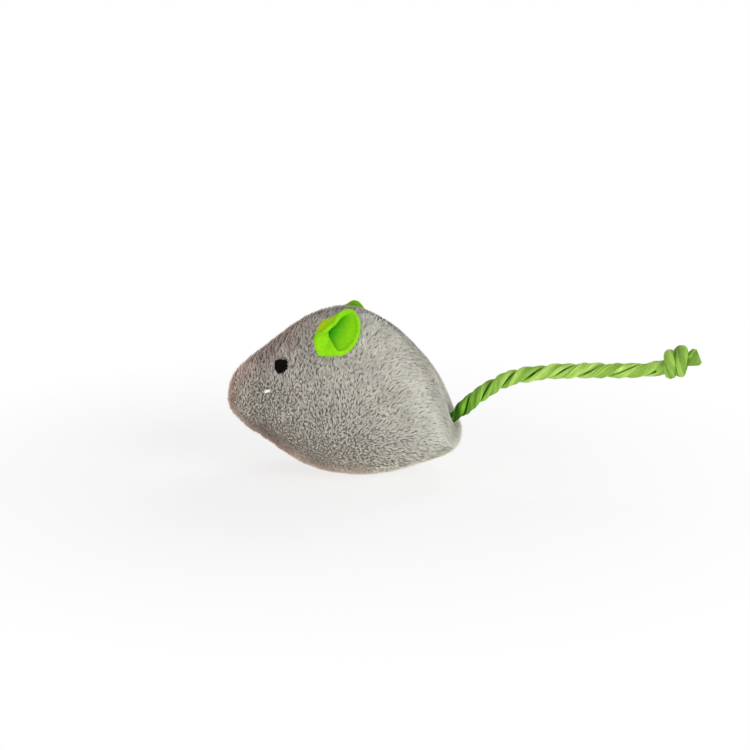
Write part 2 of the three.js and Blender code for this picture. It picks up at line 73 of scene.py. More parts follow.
def add_object(name, data):
    """A new object in the scene's collection."""
    made = bpy.data.objects.new(name, data)
    bpy.context.scene.collection.objects.link(made)
    return made


camera = add_object("camera", bpy.data.cameras.new("camera"))
back = Vector((
    math.sin(CAMERA_TURN) * math.cos(CAMERA_TILT),
    -math.cos(CAMERA_TURN) * math.cos(CAMERA_TILT),
    math.sin(CAMERA_TILT),
))
camera.location = CAMERA_TARGET + back * CAMERA_DISTANCE
camera.rotation_euler = back.to_track_quat("Z", "Y").to_euler()
camera.data.lens = CAMERA_LENS
camera.data.shift_x, camera.data.shift_y = CAMERA_SHIFT
camera.data.clip_start = 10 * MM
bpy.context.scene.camera = camera
bpy.context.scene.view_settings.view_transform = "Standard"
print("camera stands at, mm:", [round(place / MM) for place in camera.location])

# %% [markdown]
# Every new surface here is a grid of points that numpy works out in one go, and this cell turns such a grid
# into a mesh. A mesh could also be built face by face in bmesh, but filling it with foreach_set is fast
# enough for a hundred thousand blades of pile. A vertex can carry numbers too, for a material to read.

# %% Mesh helpers


def new_piece(name, points, *face_groups):
    """A smooth mesh object from points and from arrays of faces with the same number of corners each."""
    mesh = bpy.data.meshes.new(name)
    corners = np.concatenate([group.ravel() for group in face_groups])
    sizes = np.concatenate([np.full(len(group), group.shape[1]) for group in face_groups])
    mesh.vertices.add(len(points))
    mesh.vertices.foreach_set("co", np.ascontiguousarray(points, np.float32).ravel())
    mesh.loops.add(len(corners))
    mesh.loops.foreach_set("vertex_index", corners.astype(np.int32))
    mesh.polygons.add(len(sizes))
    mesh.polygons.foreach_set("loop_start", (np.cumsum(sizes) - sizes).astype(np.int32))
    mesh.update(calc_edges=True)
    mesh.shade_smooth()
    return add_object(name, mesh)


def grid_faces(rows, columns, wrap=False, flip=False):
    """Quads of a grid stored row by row. With wrap, the last column joins the first. Faces look along
    column step x row step, or the other way with flip."""
    i = np.arange(rows - 1)[:, None]
    j = np.arange(columns if wrap else columns - 1)[None, :]
    following = (j + 1) % columns
    quads = [i * columns + j, i * columns + following, (i + 1) * columns + following, (i + 1) * columns + j]
    faces = np.stack(np.broadcast_arrays(*quads), -1).reshape(-1, 4)
    return faces[:, ::-1] if flip else faces


def give_values(piece, **values):
    """Writes one number for each vertex under each name, for the piece's material to read."""
    for name, numbers in values.items():
        layer = piece.data.attributes.new(name, "FLOAT", "POINT")
        layer.data.foreach_set("value", np.ascontiguousarray(numbers, np.float32).ravel())


print("a grid of 3 rows and 4 columns has", len(grid_faces(3, 4)), "faces")

# %% [markdown]
# Nothing soft is quite even. The unevenness comes from value noise: random numbers on a lattice, blended
# smoothly across each cell. It is the same on every run, since each use has its own seed.

# %% Noise helpers


def smooth(x):
    """Eases 0 to 1: three x squared less two x cubed, flat at both ends."""
    x = np.clip(x, 0, 1)
    return x * x * (3 - 2 * x)


def noise(seed, *places, around=64):
    """Value noise between -1 and 1. Random numbers sit on a lattice of whole places, in one to three
    directions, and each cell blends its corners by smooth(). It repeats every `around` cells."""
    table = np.random.default_rng(seed).uniform(-1, 1, (around,) * len(places))
    places = np.broadcast_arrays(*places)
    total = 0
    for corner in np.ndindex(*(2,) * len(places)):
        share, cell = 1, []
        for step, place in zip(corner, places):
            whole = np.floor(place)
            part = smooth(place - whole)
            share = share * (part if step else 1 - part)
            cell.append((whole.astype(int) + step) % around)
        total = total + share * table[tuple(cell)]
    return total


def unit(vectors):
    """Vectors of length one."""
    return vectors / np.maximum(np.linalg.norm(vectors, axis=-1, keepdims=True), 1e-12)


print("noise half way along three cells:", noise(1, np.array([0.5, 1.5, 2.5])).round(2))

# %% [markdown]
# The tail is a cord of twisted paper, about as stiff as a pipe cleaner, so it stands out of the rump by
# itself and keeps the curve it was bent to. It is measured before it is shaped: it leaves the rump seam at
# one point, is 3.8 mm thick, and runs about 60 mm to its knot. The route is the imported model's, from the
# seam outwards, so that the visible rope lies where its solid does.

# %% Tail: route
TAIL_EXIT = np.array([29.757, 0, 14.944]) * MM
TAIL_DIAMETER = 3.8 * MM
TAIL_ROUTE = TAIL_EXIT + MM * np.array([
    [0, 0, 0],
    [3.4, 0, 3.1],
    [5.1, 0, 4.8],
    [6.9, 0, 6.4],
    [8.9, 0, 7.9],
    [11.1, 0, 9.4],
    [13.4, 0, 10.7],
    [15.8, 0, 11.7],
    [18.4, 0, 12.5],
    [21.2, 0, 13.1],
    [24.3, 0, 13.6],
    [28, 0, 14],
    [32.2, 0, 14.3],
    [36.5, 0, 14.5],
    [40.8, 0, 14.6],
    [45.1, 0, 14.8],
    [49.3, 0, 15],
    [53, 0, 15.3],
    [55.8, 0, 15.8],
])
print("the tail's route has", len(TAIL_ROUTE), "places, the last at", (TAIL_ROUTE[-1] / MM).round(1), "mm")

# %% [markdown]
# A rope needs more than places. It needs a smooth curve through them, points at even steps of length along
# the curve, and at each point a sideways and an upward direction. Blender's own curve tilts its frame where a
# path bends twice, so the frame is carried from point to point here.

# %% Curves through places
CURVE_DETAIL = 40


def through(points, x):
    """A cubic curve at x, measured in points. It passes each point along the line of its two neighbours."""
    last = len(points) - 1
    i = np.clip(np.floor(x).astype(int), 0, last - 1)
    t = (x - i)[..., None]
    longer = np.concatenate([[2 * points[0] - points[1]], points, [2 * points[-1] - points[-2]]])
    a, b, c, d = (longer[i + k] for k in range(4))
    leave, arrive = (c - a) / 2, (d - b) / 2
    return ((2 * b - 2 * c + leave + arrive) * t + 3 * c - 3 * b - 2 * leave - arrive) * t * t + leave * t + b


def even_steps(points, step):
    """Points at equal steps of length along the curve through some points, and the length run to each."""
    dense = through(points, np.linspace(0, len(points) - 1, CURVE_DETAIL * len(points)))
    run = np.concatenate([[0], np.cumsum(np.linalg.norm(np.diff(dense, axis=0), axis=1))])
    wanted = np.linspace(0, run[-1], max(2, int(round(run[-1] / step)) + 1))
    return np.stack([np.interp(wanted, run, dense[:, k]) for k in range(3)], -1), wanted


def carried_frame(line, side):
    """Along, side and up at each point of a path. Side is carried from point to point, each time less its
    part along the path, so it never spins by itself, whichever way the path bends."""
    along = unit(np.gradient(line, axis=0))
    sides = np.empty_like(line)
    for row, way in enumerate(along):
        side = unit(side - way * (side @ way))
        sides[row] = side
    return along, sides, np.cross(along, sides)


print("the route is", round(even_steps(TAIL_ROUTE, MM)[1][-1] / MM, 1), "mm long")

# %% [markdown]
# Two plies of crumpled paper are wound round each other. Each ply is a profile carried along the route: a
# flattened round, pushed off the route's centre and turned as it goes. The paper's folds are ridges that
# run along the ply with a slower twist of their own, which is why the ridge noise is read at a turned angle.
# How fast the plies turn is measured: the photograph shows where a crease reaches the rope's underside, and
# the plies have made half a turn more at each of those places.

# %% Tail: one ply
OPEN_PLY = {"offset": 0.24, "radial": 0.28, "tangent": 0.44, "fullness": 0.8}
TIGHT_PLY = {"offset": 0.12, "radial": 0.38, "tangent": 0.46, "fullness": 1.0}
PLY_STEP, PLY_SIDES = 0.22 * MM, 44
FOLD_DEPTH = 0.15
RIDGES, RIDGE_RUN, RIDGE_SHARE = 7, 9 * MM, 0.75
FINE_FOLDS, FINE_RUN = 16, 1.6 * MM
LUMP_RUN, LUMP_SHARE = 4 * MM, 0.06
CREASE_EDGE, CREASE_SOFTNESS = 0.42, 0.4
SIDEWAYS = np.array([0, 1.0, 0])
CREASE_RUNS = np.array([0, 8.7, 15.6, 21.8, 29.3, 37.2, 45.1, 54.9, 62]) * MM
CREASE_TURNS = np.array([-0.64, 0, 0.5, 1, 1.5, 2, 2.5, 3, 3.34])


def wound_ply(line, turns, run, frame_at, phase, thickness, shape, seed):
    """One ply along a line: centre = line + offset turned by phase - 2 pi turns. The section is (radial x
    cos^fullness, tangent x sin^fullness), scaled by 1 + folds, where folds are ridges along the ply.
    Returns points row by row, with the share round the ply, the depth of the fold, which the material turns
    into painted light and shade, and how far inside the crease between the plies a point lies, which the
    material darkens as painted shade."""
    _, side, up = frame_at
    turn = phase - 2 * math.pi * turns
    outward = np.cos(turn)[:, None] * side + np.sin(turn)[:, None] * up
    across = -np.sin(turn)[:, None] * side + np.cos(turn)[:, None] * up
    round_it = np.linspace(0, 2 * math.pi, PLY_SIDES, endpoint=False)
    share = round_it / (2 * math.pi)
    slow = run[:, None] / RIDGE_RUN
    ridges = 1 - 2 * np.abs(noise(seed, share[None, :] * RIDGES + slow, slow, around=RIDGES))
    fine_places = share[None, :] * FINE_FOLDS + 2 * slow, run[:, None] / FINE_RUN
    fold = RIDGE_SHARE * ridges + (1 - RIDGE_SHARE) * noise(seed + 1, *fine_places, around=FINE_FOLDS)
    swell = 1 + LUMP_SHARE * noise(seed + 2, run / LUMP_RUN)
    size = swell[:, None, None] * (1 + FOLD_DEPTH * (fold - 0.5))[..., None]
    wide = (thickness / TAIL_DIAMETER)[:, None]
    radial, tangent = (
        shape[reach] * np.sign(wave) * np.abs(wave) ** shape["fullness"]
        for reach, wave in (("radial", np.cos(round_it)), ("tangent", np.sin(round_it)))
    )
    section = TAIL_DIAMETER * (
        radial[None, :, None] * outward[:, None, :] + tangent[None, :, None] * across[:, None, :]
    )
    centre = line + shape["offset"] * TAIL_DIAMETER * wide * outward
    points = centre[:, None, :] + size * wide[:, :, None] * section
    # painted shade on the side of each ply that faces the other
    crease = smooth((-CREASE_EDGE - np.cos(round_it)) / CREASE_SOFTNESS)
    return points, share, fold, crease


print("the plies turn", round(CREASE_TURNS[-1] - CREASE_TURNS[0], 2), "times in", CREASE_RUNS[-1] / MM, "mm")

# %% [markdown]
# The rope is one mesh with both plies in it, half a turn apart. Each is a closed tube, whose ends are shut by
# a fan of triangles. Along with its place, each point carries where it lies on its ply, so that the material
# can follow the twist.

# %% Tail: both plies as one mesh


def tube_faces(rows, columns):
    """Faces of a closed tube: the grid of its wall, and a fan at each end to the two points after it."""
    j = np.arange(columns)
    following, last, tip = (j + 1) % columns, (rows - 1) * columns, rows * columns
    start_fan = np.stack([tip + 0 * j, following, j], -1)
    end_fan = np.stack([tip + 1 + 0 * j, last + j, last + following], -1)
    return grid_faces(rows, columns, wrap=True), np.concatenate([start_fan, end_fan])


def plied_rope(name, line, run, turns, thickness, seeds, shape=OPEN_PLY, deep=1.0):
    """A rope of two plies, half a turn apart, each with closed ends. Deep is how much painted shade deepens
    its green, as one number or one for each step of the line."""
    frame_at = carried_frame(line, SIDEWAYS)
    walls, fans = tube_faces(len(line), PLY_SIDES)
    green = np.broadcast_to(deep, len(line))
    points, quads, triangles, shares, runs, folds, creases, greens = ([] for _ in range(8))
    for number, seed in enumerate(seeds):
        wall, share, fold, crease = wound_ply(
            line, turns, run, frame_at, number * math.pi, thickness, shape, seed
        )
        first = number * (len(line) * PLY_SIDES + 2)
        points += [wall.reshape(-1, 3), wall[[0, -1]].mean(1)]
        quads.append(first + walls)
        triangles.append(first + fans)
        shares += [np.tile(share, len(line)), [0.5, 0.5]]
        runs += [np.repeat(run, PLY_SIDES), run[[0, -1]]]
        folds += [fold.ravel(), [-1, -1]]
        creases += [np.tile(crease, len(line)), [0, 0]]
        greens += [np.repeat(green, PLY_SIDES), green[[0, -1]]]
    piece = new_piece(name, np.concatenate(points), np.concatenate(quads), np.concatenate(triangles))
    give_values(
        piece,
        ply_share=np.concatenate(shares),
        ply_run=np.concatenate(runs) / MM,
        fold=np.concatenate(folds),
        crease=np.concatenate(creases),
        deep_green=np.concatenate(greens),
    )
    return piece


print("a ply of 3 rings has", len(tube_faces(3, PLY_SIDES)[0]), "quads round its wall")

# %% [markdown]
# The rope starts squeezed in the rump seam, is full within a few millimetres, and ends inside the knot.
# Painted shade makes it a deep green by the seam, and it pales towards its middle.

# %% Tail: the rope
INTO_KNOT = 1.4 * MM
SQUEEZED_SHARE, SQUEEZED_RUN = 0.66, 4.5 * MM
DEEP_GREEN_RUN = 26 * MM
last_way = unit(TAIL_ROUTE[-1] - TAIL_ROUTE[-2])
rope_route = np.concatenate([TAIL_ROUTE, [TAIL_ROUTE[-1] + last_way * INTO_KNOT]])
rope_line, rope_run = even_steps(rope_route, PLY_STEP)
rope_thickness = TAIL_DIAMETER * (SQUEEZED_SHARE + (1 - SQUEEZED_SHARE) * smooth(rope_run / SQUEEZED_RUN))
rope_turns = np.interp(rope_run, CREASE_RUNS, CREASE_TURNS)
# painted shade: deep green near the seam, fading towards the middle
rope_green = 1 - smooth(rope_run / DEEP_GREEN_RUN)
tail_rope = plied_rope(
    "tail_twisted_rope", rope_line, rope_run, rope_turns, rope_thickness, (11, 23), deep=rope_green
)

# %% [markdown]
# An overhand knot stops the rope from unwinding. Its path is a short list of places in the knot's own terms:
# how far along its axis, how far off it, and at what angle round it. The rope swings out, wraps twice, dives
# through its own middle and leaves a cut end. The same plies follow that path, a little squeezed.

# %% Tail: knot
KNOT_MIDDLE = np.array([88.66, 0, 32.33]) * MM
KNOT_WRAP = 2.85
KNOT_THICKNESS = 3.2 * MM
KNOT_LAY = 24 * MM
# the knot gets a little painted shade too
KNOT_FIRST_TURN, KNOT_GREEN = 0.3, 0.3
CUT_END_RUN, CUT_END_SPREAD = 5 * MM, 0.65
CUT_RIM_RUN, CUT_RIM_SHARE = 0.9 * MM, 0.8
KNOT_PLACES = np.array([
    # along the axis, off the axis, angle round it
    (-4.6, 1.0, 180),
    (-3.0, 0.9, 180),
    (-1.2, 0.6, 185),
    (0.3, 0.6, 215),
    (1.0, 1.1, 248),
    (0.8, 1.7, 280),
    (0.2, 2.0, 315),
    (-0.3, 2.1, 350),
    (-0.5, 2.2, 388),
    (-0.7, 2.5, 428),
    (-0.8, 2.7, 470),
    (-0.9, 2.8, 520),
    (-0.6, KNOT_WRAP, 565),
    (0.5, KNOT_WRAP, 612),
    (1.8, KNOT_WRAP, 656),
    (2.7, KNOT_WRAP, 700),
    (2.9, KNOT_WRAP, 742),
    (2.4, KNOT_WRAP, 782),
    (2.0, KNOT_WRAP, 822),
    (1.7, KNOT_WRAP, 867),
    (1.9, 2.4, 912),
    (2.6, 1.7, 960),
    (3.4, 0.9, 1010),
    (4.5, 0.3, 1060),
    (5.8, 0.4, 1080),
    (7.2, 0.7, 1080),
])
knot_axis = unit(np.array([1, 0, 0.18]))
knot_up = np.cross(knot_axis, SIDEWAYS)
knot_turn = np.radians(KNOT_PLACES[:, 2:])
knot_route = KNOT_MIDDLE + MM * (
    KNOT_PLACES[:, :1] * knot_axis
    + KNOT_PLACES[:, 1:2] * (np.cos(knot_turn) * knot_up - np.sin(knot_turn) * SIDEWAYS)
)
knot_line, knot_run = even_steps(knot_route, PLY_STEP)
to_end = knot_run[-1] - knot_run
knot_thickness = KNOT_THICKNESS * (CUT_RIM_SHARE + (1 - CUT_RIM_SHARE) * smooth(to_end / CUT_RIM_RUN))
knot_thickness = knot_thickness * (1 + CUT_END_SPREAD * smooth(1 - to_end / CUT_END_RUN))
knot_turns = KNOT_FIRST_TURN + knot_run / KNOT_LAY
tail_knot = plied_rope(
    "tail_overhand_knot", knot_line, knot_run, knot_turns, knot_thickness, (31, 47), TIGHT_PLY, KNOT_GREEN
)
print("knot uses", round(knot_run[-1] / MM, 1), "mm of rope")

# %% [markdown]
# The rope doesn't stop at the cloth. The seam squeezes it flat for a few millimetres, and its end is caught
# inside among the filling, so a pull on the tail doesn't bring it out. Both hidden lengths are the same two
# plies along short paths of their own.

# %% Tail: squeezed root and sewn-in end
HIDDEN_LAY = 13 * MM
ROOT_INSIDE, ROOT_OUTSIDE = 2.1 * MM, 1.1 * MM
ROOT_END_SHARE, ROOT_MIDDLE_SHARE = 0.3, 0.4
ANCHOR_SHARE = 0.8
rope_way = unit(TAIL_ROUTE[1] - TAIL_ROUTE[0])
root_reach = np.array([[-ROOT_INSIDE], [-0.4 * MM], [ROOT_OUTSIDE]])
root_line, root_run = even_steps(TAIL_EXIT + root_reach * rope_way, PLY_STEP)
root_swell = np.sin(math.pi * np.clip(root_run / root_run[-1], 0.08, 0.92))
root_thickness = TAIL_DIAMETER * (ROOT_END_SHARE + ROOT_MIDDLE_SHARE * root_swell)
root_turns = CREASE_TURNS[0] + (root_run - ROOT_INSIDE) / HIDDEN_LAY
tail_root = plied_rope("tail_squeezed_root", root_line, root_run, root_turns, root_thickness, (51, 57))
anchor_low, anchor_high = (np.array(corner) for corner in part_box("tail_anchor"))
anchor_reach = np.array([[-3.2, 0, -0.3], [-1.5, 0, -0.1], [0.5, 0, 0.1], [3.0, 0, 0.3]]) * MM
anchor_line, anchor_run = even_steps((anchor_low + anchor_high) / 2 + anchor_reach, PLY_STEP)
anchor_thickness = ANCHOR_SHARE * TAIL_DIAMETER + 0 * anchor_run
tail_anchor = plied_rope(
    "tail_sewn_in_end", anchor_line, anchor_run, anchor_run / HIDDEN_LAY, anchor_thickness, (61, 67)
)
print("hidden rope, mm:", [round(float(run[-1] / MM), 1) for run in (root_run, anchor_run)])

# %% [markdown]
# The body is one rounded form with no neck. It could be sculpted, but a formula lets every later piece ask
# for a place on it. Its shape is a ring of side-view places, paired back over keel, and a half width for each
# pair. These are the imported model's own values, so the pile ends where the solid's surface is.

# %% Body: outline and widths
BODY_LENGTH, BODY_HEIGHT, BODY_WIDTH = 65.4 * MM, 45.6 * MM, 40 * MM
FLAT_DEPTH = 0.5 * MM
BACK_SHARES = np.array([
    (-0.5, 0.433), (-0.466, 0.592), (-0.337, 0.757), (-0.167, 0.93), (0.013, 1), (0.176, 0.912),
    (0.3, 0.762), (0.385, 0.612), (0.429, 0.46), (0.441, 0.39), (0.455, 0.335),
])
KEEL_SHARES = np.array([
    (-0.5, 0.433), (-0.454, 0.32), (-0.314, 0.19), (-0.146, 0.05), (0.026, 0.001), (0.192, 0.02),
    (0.345, 0.088), (0.458, 0.148), (0.499, 0.215), (0.494, 0.29), (0.455, 0.335),
])
HALF_WIDTH_SHARES = np.array([0, 0.4, 0.68, 0.88, 0.985, 0.99, 0.88, 0.665, 0.44, 0.23, 0])
LAST_PAIR = len(BACK_SHARES) - 1
SIDE_VIEW = np.array([BODY_LENGTH, BODY_HEIGHT + FLAT_DEPTH])
RING = np.concatenate([BACK_SHARES, KEEL_SHARES[-2:0:-1]]) * SIDE_VIEW - (0, FLAT_DEPTH)
WIDTHS = np.concatenate([-HALF_WIDTH_SHARES[:0:-1], HALF_WIDTH_SHARES, -HALF_WIDTH_SHARES[-2::-1]])


def cubic(points, x):
    """The same cubic as through(), for rows of numbers that repeat without end."""
    i = np.floor(x).astype(int)
    t = (x - i)[..., None]
    a, b, c, d = (points[(i + k) % len(points)] for k in (-1, 0, 1, 2))
    leave, arrive = (c - a) / 2, (d - b) / 2
    return ((2 * b - 2 * c + leave + arrive) * t + 3 * c - 3 * b - 2 * leave - arrive) * t * t + leave * t + b


def chord(s):
    """Middle and half of the chord from back to keel at share s, nose to rump, and the half width there."""
    x = np.clip(s, 0, 1 - 1e-7) * LAST_PAIR
    top, bottom = cubic(RING, x), cubic(RING, len(RING) - x)
    half_width = cubic(WIDTHS[:, None], x + LAST_PAIR)[..., 0] * BODY_WIDTH / 2
    return (top + bottom) / 2, (top - bottom) / 2, half_width


print("half width amidships, mm:", round(float(chord(np.array(0.5))[2]) / MM, 1))

# %% [markdown]
# A cross-section is a superellipse, rounder at the top than at the bottom and a little narrower up there, as
# a pear is. Two shares find any place on the body: how far along it is, and at what angle from the top. From
# small differences of that place come the outward normal and the directions along and around.

# %% Body: the surface as a function of a share and an angle
TOP_ROUNDNESS, BOTTOM_ROUNDNESS, PEAR_SHARE = 2.05, 2.5, 0.16


def section(a):
    """How far up the chord and how far out a section is at angle a from its top: cos and sin over the
    superellipse's reach, drawn in towards the top by the pear share."""
    power = TOP_ROUNDNESS + (BOTTOM_ROUNDNESS - TOP_ROUNDNESS) * smooth((1 - np.cos(a)) / 2)
    reach = (np.abs(np.cos(a)) ** power + np.abs(np.sin(a)) ** power) ** (1 / power)
    rise = np.cos(a) / reach
    return rise, np.sin(a) / reach * (1 - PEAR_SHARE * rise)


ANGLES = np.linspace(0, math.pi, 721)
RISES, OUTS = section(ANGLES)


def body_point(s, a):
    """Place on the body at share s from nose to rump and angle a from the top. Positive a is the right."""
    s, a = np.broadcast_arrays(np.asarray(s, float), np.asarray(a, float))
    middle, half, half_width = chord(s)
    rise, out = section(a)
    side_view = middle + half * rise[..., None]
    return np.stack([side_view[..., 0], half_width * out / OUTS.max(), side_view[..., 1]], -1)


def body_frame(s, a):
    """Outward normal, and the unit directions of growing s and a, from differences of body_point."""
    s, step = np.clip(s, 0.004, 0.996), 1e-3
    along = body_point(s + step, a) - body_point(s - step, a)
    around = body_point(s, a + step) - body_point(s, a - step)
    return unit(np.cross(along, around)), unit(along), unit(around)


print("a place on the spine, mm:", (body_point(0.45, 0) / MM).round(1))

# %% [markdown]
# Eyes and seams are known by where they show in side view. The way back from there to a share and an angle
# has no formula, so halving finds it: the search keeps the half that holds the place, thirty times over.

# %% Body: from a side-view place to the surface
HALVINGS = 30


def on_side(x, z, side):
    """(s, a) of the place on one side, 1 right or -1 left, that shows at (x, z) in side view: halving finds
    the chord through it, and the section's rise gives the angle."""
    x, z = np.broadcast_arrays(np.asarray(x, float), np.asarray(z, float))
    low, high = np.full(x.shape, 0.02), np.full(x.shape, 0.98)
    for _ in range(HALVINGS):
        s = (low + high) / 2
        middle, half, _ = chord(s)
        before = (x - middle[..., 0]) * half[..., 1] - (z - middle[..., 1]) * half[..., 0] > 0
        low, high = np.where(before, s, low), np.where(before, high, s)
    middle, half, _ = chord(low)
    apart = np.stack([x, z], -1) - middle
    rise = (apart * half).sum(-1) / (half * half).sum(-1)
    return low, side * np.interp(-rise, -RISES, ANGLES)


print("share and angle at x -10, z 25 mm:", [round(float(v), 3) for v in on_side(-10 * MM, 25 * MM, -1)])

# %% [markdown]
# Three panels of plush are sewn together: one on each side, which meet along the spine, and one under the
# belly. A seam pulls the cloth in, so the cover dips along each seam and swells between them. The belly
# seam is a line in side view. For each share s its angle is where the chord crosses that line.

# %% Body: seams
BELLY_SEAM_SHARES = np.array([
    (-0.56, 0.43), (-0.45, 0.352), (-0.37, 0.272), (-0.26, 0.19), (-0.1, 0.105),
    (0.1, 0.085), (0.3, 0.13), (0.4, 0.19), (0.456, 0.216), (0.56, 0.235),
])
SEAM_HALVINGS = 24
seam_line = through(BELLY_SEAM_SHARES * SIDE_VIEW - (0, FLAT_DEPTH), np.linspace(0, 9, 200))


def over_seam(place):
    """How far a side-view place is above the belly seam."""
    return place[..., 1] - np.interp(place[..., 0], seam_line[:, 0], seam_line[:, 1])


def belly_angle(s):
    """Angle from the top at which the belly seam crosses the section at s, or pi where it has passed the
    keel: halving along the chord for the height at which it meets the seam line."""
    middle, half, _ = chord(s)
    low, high = np.full(np.shape(s), -1.0), np.full(np.shape(s), 1.0)
    for _ in range(SEAM_HALVINGS):
        rise = (low + high) / 2
        under = over_seam(middle + half * rise[..., None]) < 0
        low, high = np.where(under, rise, low), np.where(under, high, rise)
    return np.where(over_seam(middle - half) > 0, math.pi, np.interp(-low, -RISES, ANGLES))


def folded(a):
    """Angle from the top, 0 to pi, on either side."""
    return np.abs((a + math.pi) % (2 * math.pi) - math.pi)


def seam_distance(s, a):
    """Distance along the cloth to the nearest seam, about: the angle to it times the radius there. The
    seams are the spine, the belly seam, and the keel where the two side panels meet under nose and rump."""
    radius = np.linalg.norm(body_point(s, a + 1e-3) - body_point(s, a), axis=-1) / 1e-3
    seam = belly_angle(s)
    under = np.where(seam < math.pi, np.abs(folded(a) - seam), math.pi - folded(a))
    return np.minimum(folded(a), under) * radius


print("belly seam amidships, degrees from the top:", round(math.degrees(belly_angle(np.array(0.5)))))

# %% [markdown]
# The cover lies one depth of pile inside the body's surface, and it is drawn in a little along each seam. It
# starts smaller than that, by the amount that the stuffing will push it out.

# %% Body: the slack cover
PILE_DEPTH = 1.0 * MM
SWELL = 0.9 * MM
SEAM_DIP, SEAM_REACH = 0.15 * MM, 1.3 * MM
ROWS, COLUMNS = 96, 128

row_shares = np.linspace(0, 1, ROWS + 1)[:, None]
column_angles = 2 * math.pi * np.arange(COLUMNS)[None, :] / COLUMNS
outward, _, _ = body_frame(row_shares, column_angles)
hold = np.exp(-((seam_distance(row_shares, column_angles) / SEAM_REACH) ** 2))
start_depth = PILE_DEPTH + SWELL * (1 - hold) + SEAM_DIP * hold
slack = body_point(row_shares, column_angles) - outward * start_depth[..., None]
slack[0], slack[-1] = slack[0].mean(0), slack[-1].mean(0)
print("slack cover:", ROWS, "by", COLUMNS, "cells, up to", round(start_depth.max() / MM, 2), "mm deep")

# %% [markdown]
# Stuffing pushes the cloth out like air in a balloon, and the seams hold it back. That is what Blender's
# Cloth does with pressure on and gravity off. The seams are pinned, and the cloth counts as cut a twentieth
# larger, so there is something to swell. Each point's rise is kept between a least and a full swell, since
# firm filling backs the cloth everywhere. The solver is tuned for things the size of a chair, so the little
# mouse is blown up ten times for it and shrunk back afterwards.

# %% Body: inflate the cover
LEAST_SWELL, SLIDE = 0.65 * MM, 0.3 * MM
PINNED_FROM = 0.75
CUT_LARGER = 0.05
PRESSURE, CLOTH_QUALITY = 4, 5
SIM_SCALE, SIM_FRAMES = 10, 20


def inflated(slack, hold):
    """The grid after twenty frames of Cloth under pressure, with its seams pinned. Each point's step is
    split in two: its rise along the normal, kept between the least and the full swell, and its slide along
    the cloth, cut to a short length."""
    points = np.concatenate([slack[1:-1].reshape(-1, 3), slack[0, :1], slack[-1, :1]])
    walls, fans = tube_faces(ROWS - 1, COLUMNS)
    cover = new_piece("cover", points * SIM_SCALE, walls[:, ::-1], fans[:, ::-1])
    pinned = np.flatnonzero(hold[1:-1].ravel() > PINNED_FROM).tolist() + [len(points) - 2, len(points) - 1]
    cover.vertex_groups.new(name="sewn").add(pinned, 1.0, "REPLACE")
    cloth = cover.modifiers.new("stuffing", "CLOTH").settings
    cloth.vertex_group_mass = "sewn"
    cloth.use_pressure = True
    cloth.uniform_pressure_force = PRESSURE
    cloth.effector_weights.gravity = 0
    cloth.shrink_min = -CUT_LARGER
    cloth.quality = CLOTH_QUALITY
    for number in range(1, SIM_FRAMES + 1):
        bpy.context.scene.frame_set(number)
    blown = cover.evaluated_get(bpy.context.evaluated_depsgraph_get()).to_mesh()
    moved = np.empty(3 * len(points), np.float32)
    blown.vertices.foreach_get("co", moved)
    bpy.data.objects.remove(cover)
    bpy.context.scene.frame_set(1)
    step = (moved.reshape(-1, 3) / SIM_SCALE - points)[:-2].reshape(ROWS - 1, COLUMNS, 3)
    rise = (step * outward[1:-1]).sum(-1, keepdims=True)
    slide = step - rise * outward[1:-1]
    slid = np.linalg.norm(slide, axis=-1, keepdims=True)
    print("cover rose, mm: mean", round(rise.mean() / MM, 2), "least", round(rise.min() / MM, 2))
    print("cover slid, mm: mean", round(slid.mean() / MM, 2), "most", round(slid.max() / MM, 2))
    free = 1 - hold[1:-1, :, None]
    result = slack.copy()
    result[1:-1] += np.clip(rise, LEAST_SWELL * free, SWELL) * outward[1:-1]
    result[1:-1] += slide * np.minimum(1, SLIDE / np.maximum(slid, 1e-9))
    return result


skin = inflated(slack, hold)

# %% [markdown]
# Panels and pile both need places on the cover between its grid points, so one function mixes the four
# points round any share and angle.

# %% Body: places on the cover


def skin_at(s, a):
    """Place on the inflated cover: the four grid points round (s, a), mixed by how near each is."""
    x, y = np.clip(s, 0, 1) * ROWS, (a / (2 * math.pi) * COLUMNS) % COLUMNS
    i, j = np.minimum(x.astype(int), ROWS - 1), y.astype(int) % COLUMNS
    u, v = (x - i)[..., None], (y - np.floor(y))[..., None]
    following = (j + 1) % COLUMNS
    upper = skin[i, j] * (1 - v) + skin[i, following] * v
    lower = skin[i + 1, j] * (1 - v) + skin[i + 1, following] * v
    return upper * (1 - u) + lower * u


print("cover amidships on the left, mm:", (skin_at(np.array(0.5), np.array(1.5 * math.pi)) / MM).round(1))

# %% [markdown]
# Each panel is a patch of the inflated cover between its seams, with the cloth's own thickness. For the side
# panels one direction of the patch runs from the spine down to the belly seam. The belly panel is a leaf:
# it narrows to a point under the chin and another under the tail.

# %% Body: three panels
CLOTH_THICKNESS = 0.5 * MM
SEAM_GAP = 0.15 * MM
PANEL_ROWS, PANEL_COLUMNS = 120, 72


def panel(name, shares, angles):
    """A patch of cover over grids of shares and angles, thickened inwards by Solidify."""
    piece = new_piece(name, skin_at(shares, angles).reshape(-1, 3), grid_faces(*shares.shape, flip=True))
    wall = piece.modifiers.new("thickness", "SOLIDIFY")
    wall.thickness, wall.offset = CLOTH_THICKNESS, -1
    return piece


def gap_angle(s):
    """The seam gap as an angle of the section at s."""
    return SEAM_GAP / np.maximum(chord(s)[2], 2 * MM)


